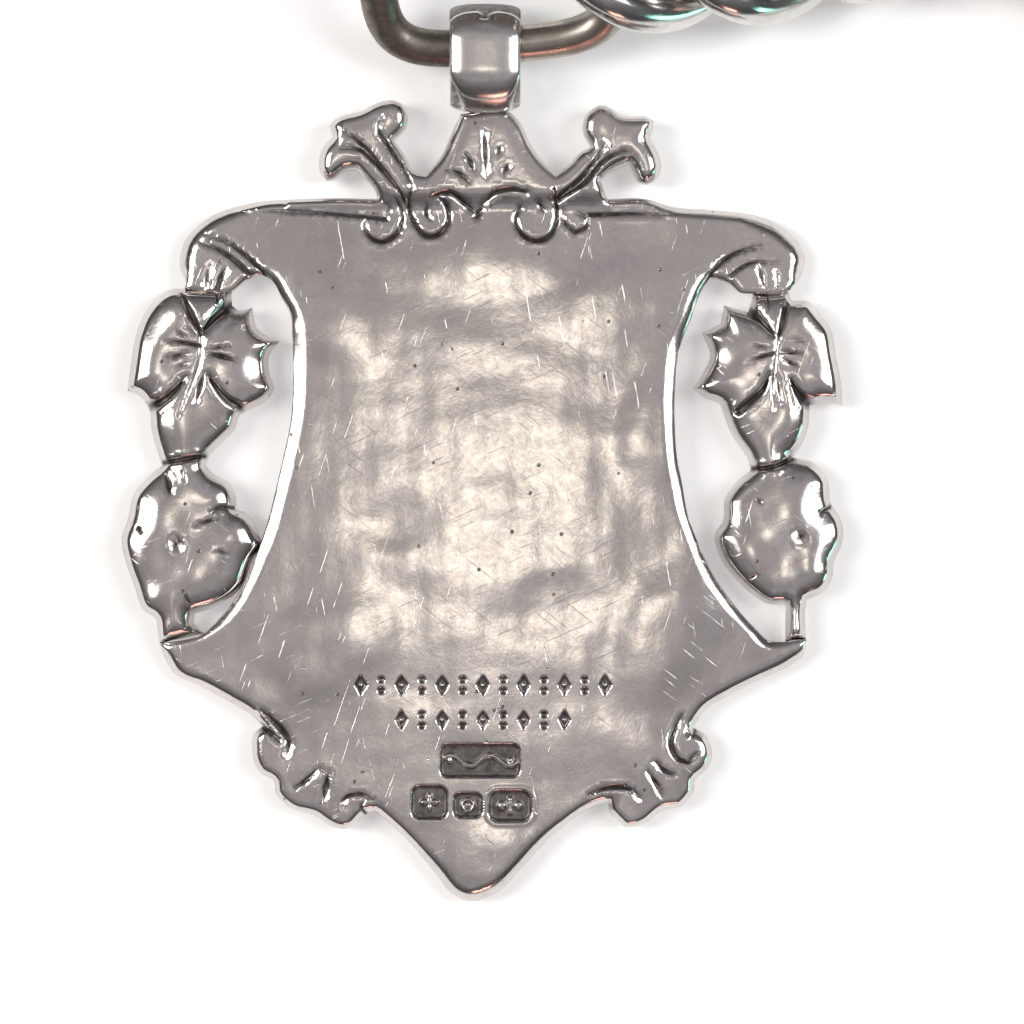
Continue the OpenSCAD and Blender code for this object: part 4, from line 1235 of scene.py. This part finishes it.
def build_clip(last):
    yaw = last[1]
    centre = last[0] + (to_ring(BOW_WIRE, last[4]) + BOW_RADIUS) * heading(yaw)
    clip = place_at(centre, yaw)
    rolled = place_at(centre, yaw, 0, BOW_ROLL)
    bow = round_ring("swivel_bow", BOW_RADIUS, BOW_WIRE, rolled)
    dress(bow, "swivel_bow", "bright_silver", BRIGHT_SILVER, "swivel_bow")
    shank = [(2.3, 0), (2.3, 0.95), (2.7, 1.05), (3.0, 0.98), (3.25, 0.80), (5.1, 0.80),
             (5.1, 1.22), (5.16, 1.25), (6.44, 1.25), (6.5, 1.2), (6.5, 0)]
    stem = lathe("swivel_shank", shank, rolled, 48)
    dress(stem, "swivel_bow", "bright_silver", BRIGHT_SILVER)

    barrel = [(6.8, 0), (6.8, 1.31), (5.0, 1.31), (5.0, 0.86), (3.7, 0.86), (3.6, 0.95),
              (3.6, 1.62), (3.66, 1.74), (3.8, 1.8), (4.1, 1.8), (4.2, 1.7), (4.3, 1.68),
              (4.4, 1.7), (4.5, 1.82), (4.7, 1.93), (5.2, 2.0), (7.4, 2.0), (7.9, 1.93),
              (8.1, 1.82), (8.2, 1.7), (8.3, 1.68), (8.4, 1.7), (8.5, 1.8), (8.8, 1.85),
              (9.2, 1.8), (9.5, 1.6), (9.6, 1.3), (9.6, 0)]
    dark = [0.9 if abs(r - 1.68) < 0.03 else 0.0 for x, r in barrel]
    # Painted shade inside the socket that the shank turns in.
    dark[1:5] = [0.6] * 4
    body = lathe("clip_barrel", barrel, clip, 64, dark)
    dress(body, "clip", "bright_silver", BRIGHT_SILVER)

    count = 110
    path = hook_path(NOSE_ANGLE, 205, count)
    wide = rounded_ends(count, 0.035, 0.02, 1.03)
    thick = rounded_ends(count, 0.03, 0.02, 1.08)
    grow = smoothstep(np.linspace(0, 1, count) / 0.5)
    wide *= 0.80 + 0.20 * grow
    thick *= 0.84 + 0.16 * grow
    hook = swept_bar("clip_hook", path, wide, thick, clip)
    dress(hook, "clip", "bright_silver", BRIGHT_SILVER, "clip_body")
    for label, side in (("upper", 1), ("lower", -1)):
        turned = place_at((HINGE[0], HINGE[1], side * 0.85), 0, 90)
        cheek = lathe(f"clip_cheek_{label}", disc_profile(0.25, KNUCKLE_R - 0.1),
                      lambda p, t=turned: clip(t(p)), 48)
        dress(cheek, "clip", "bright_silver", BRIGHT_SILVER)
        web = swept_bar(f"clip_web_{label}",
                        np.array([[x, -2.2 - 0.25 * (x - 9), side * 0.85]
                                  for x in np.linspace(8.6, 11.2, 12)]),
                        np.full(12, 0.85), np.full(12, 0.25), clip)
        dress(web, "clip", "bright_silver", BRIGHT_SILVER)

    hinge = place_at((HINGE[0], HINGE[1], 0), 0, 90)
    knuckle = lathe("clip_lever_knuckle", disc_profile(0.5, KNUCKLE_R),
                    lambda p: clip(hinge(p)), 48)
    dress(knuckle, "lever", "bright_silver", BRIGHT_SILVER)
    count = 70
    path = hook_path(223, 331, count)
    reach = np.hypot(path[:, 0] - HINGE[0], path[:, 1] - HINGE[1])
    path = path[reach < LEVER_REACH - 0.02]
    count = len(path)
    wide = rounded_ends(count, 0.05, 0.04, 0.95, 0.5)
    thick = rounded_ends(count, 0.03, 0.04, 0.98, 0.5)
    shoulder = smoothstep((reach[:count] - KNUCKLE_R - 0.25) / 0.4)
    thick = np.minimum(thick, 0.48 + 0.5 * shoulder)
    arm = swept_bar("clip_lever", path, wide, thick, clip)
    dress(arm, "lever", "bright_silver", BRIGHT_SILVER, "clip_lever")

    pin = [(-1.12, 0), (-1.12, 0.3), (-1.05, 0.46), (-0.95, 0.5), (0.95, 0.5), (1.05, 0.46),
           (1.12, 0.3), (1.12, 0)]
    rivet = lathe("lever_rivet", pin, lambda p: clip(hinge(p)), 32)
    dress(rivet, "clip", "spring_steel", SPRING_STEEL, "lever_rivet")
    strip = np.array([[9.6 + 1.7 * t, -1.375 + 0.08 * math.sin(math.pi * t), 0]
                      for t in np.linspace(0, 1, 16)])
    leaf = swept_bar("lever_spring", strip, np.full(16, 0.10), np.full(16, 0.4), clip)
    dress(leaf, "clip", "spring_steel", SPRING_STEEL, "lever_spring")


# ---------------------------------------------------------------- floor, world and lights
def build_floor():
    half = 1500.0
    floor = new_object("floor", [(-half, -half, -0.02), (half, -half, -0.02), (half, half, -0.02),
                                 (-half, half, -0.02)], [(0, 1, 2, 3)], smooth=False)
    material = bpy.data.materials.new("floor")
    material.use_nodes = True
    shader = material.node_tree.nodes["Principled BSDF"]
    shader.inputs["Base Color"].default_value = (0.93, 0.93, 0.93, 1)
    shader.inputs["Roughness"].default_value = 0.9
    shader.inputs["Emission Color"].default_value = (1, 1, 1, 1)
    shader.inputs["Emission Strength"].default_value = 0.25
    floor.data.materials.append(material)


def build_world():
    """Studio surroundings: a bright opening overhead, mid grey round it, dark low down."""
    world = bpy.data.worlds.new("studio")
    bpy.context.scene.world = world
    world.use_nodes = True
    tree = world.node_tree
    tree.nodes.clear()
    out = tree.nodes.new("ShaderNodeOutputWorld")
    direction = tree.nodes.new("ShaderNodeTexCoord").outputs["Generated"]
    split = tree.nodes.new("ShaderNodeSeparateXYZ")
    tree.links.new(direction, split.inputs[0])
    angle = math_node(tree, "ARCCOSINE", math_node(tree, "MINIMUM", split.outputs["Z"], 1.0))
    angle = math_node(tree, "MULTIPLY", angle, 2 / math.pi)
    sky = ramp(tree, angle, [(0.0, (2.9, 2.7, 2.4)), (0.022, (2.6, 2.4, 2.1)),
                             (0.056, (0.56, 0.53, 0.52)), (0.16, (0.41, 0.39, 0.395)),
                             (0.30, (0.38, 0.37, 0.37)), (0.5, (0.22, 0.21, 0.21)),
                             (0.75, (0.11, 0.105, 0.11)), (1.0, (0.05, 0.05, 0.055))])
    clouds = noise(tree, direction, 5.0, 3, 0.55)
    clouds = ramp(tree, clouds, [(0.3, (0.72, 0.72, 0.72)), (0.7, (1.3, 1.3, 1.3))])
    sky = mix(tree, 1.0, sky, clouds, "MULTIPLY")
    light = node(tree, "ShaderNodeBackground", Strength=1.0)
    tree.links.new(sky, light.inputs["Color"])
    pale = node(tree, "ShaderNodeBackground", Strength=1.0)
    pale.inputs["Color"].default_value = (0.92, 0.92, 0.92, 1)
    path = tree.nodes.new("ShaderNodeLightPath")
    pick = tree.nodes.new("ShaderNodeMixShader")
    tree.links.new(path.outputs["Is Camera Ray"], pick.inputs[0])
    tree.links.new(light.outputs[0], pick.inputs[1])
    tree.links.new(pale.outputs[0], pick.inputs[2])
    tree.links.new(pick.outputs[0], out.inputs["Surface"])


def soft_light(name, at, size, power, colour=(1, 1, 1)):
    data = bpy.data.lights.new(name, "AREA")
    data.shape = "RECTANGLE"
    data.size, data.size_y = size[0] * MM, size[1] * MM
    data.energy = power
    data.color = colour
    light = bpy.data.objects.new(name, data)
    light.location = Vector(at) * MM
    light.rotation_euler = Vector(at).to_track_quat("Z", "Y").to_euler()
    bpy.context.scene.collection.objects.link(light)


make_camera()
build_fob()
build_front_disc()
build_bail()
build_clip(main_links()[-1])
build_t_bar(build_rings_and_links())
build_floor()
build_world()
soft_light("left_box", (-330, 60, 390), (160, 300), 1.45, (1.0, 0.97, 0.93))
soft_light("right_box", (330, 60, 390), (160, 300), 1.1)
soft_light("red_card", (60, -330, 70), (120, 50), 0.10, (0.85, 0.42, 0.34))
soft_light("teal_card", (330, -120, 50), (90, 50), 0.10, (0.3, 0.8, 0.65))
bpy.context.scene.view_settings.view_transform = "Standard"
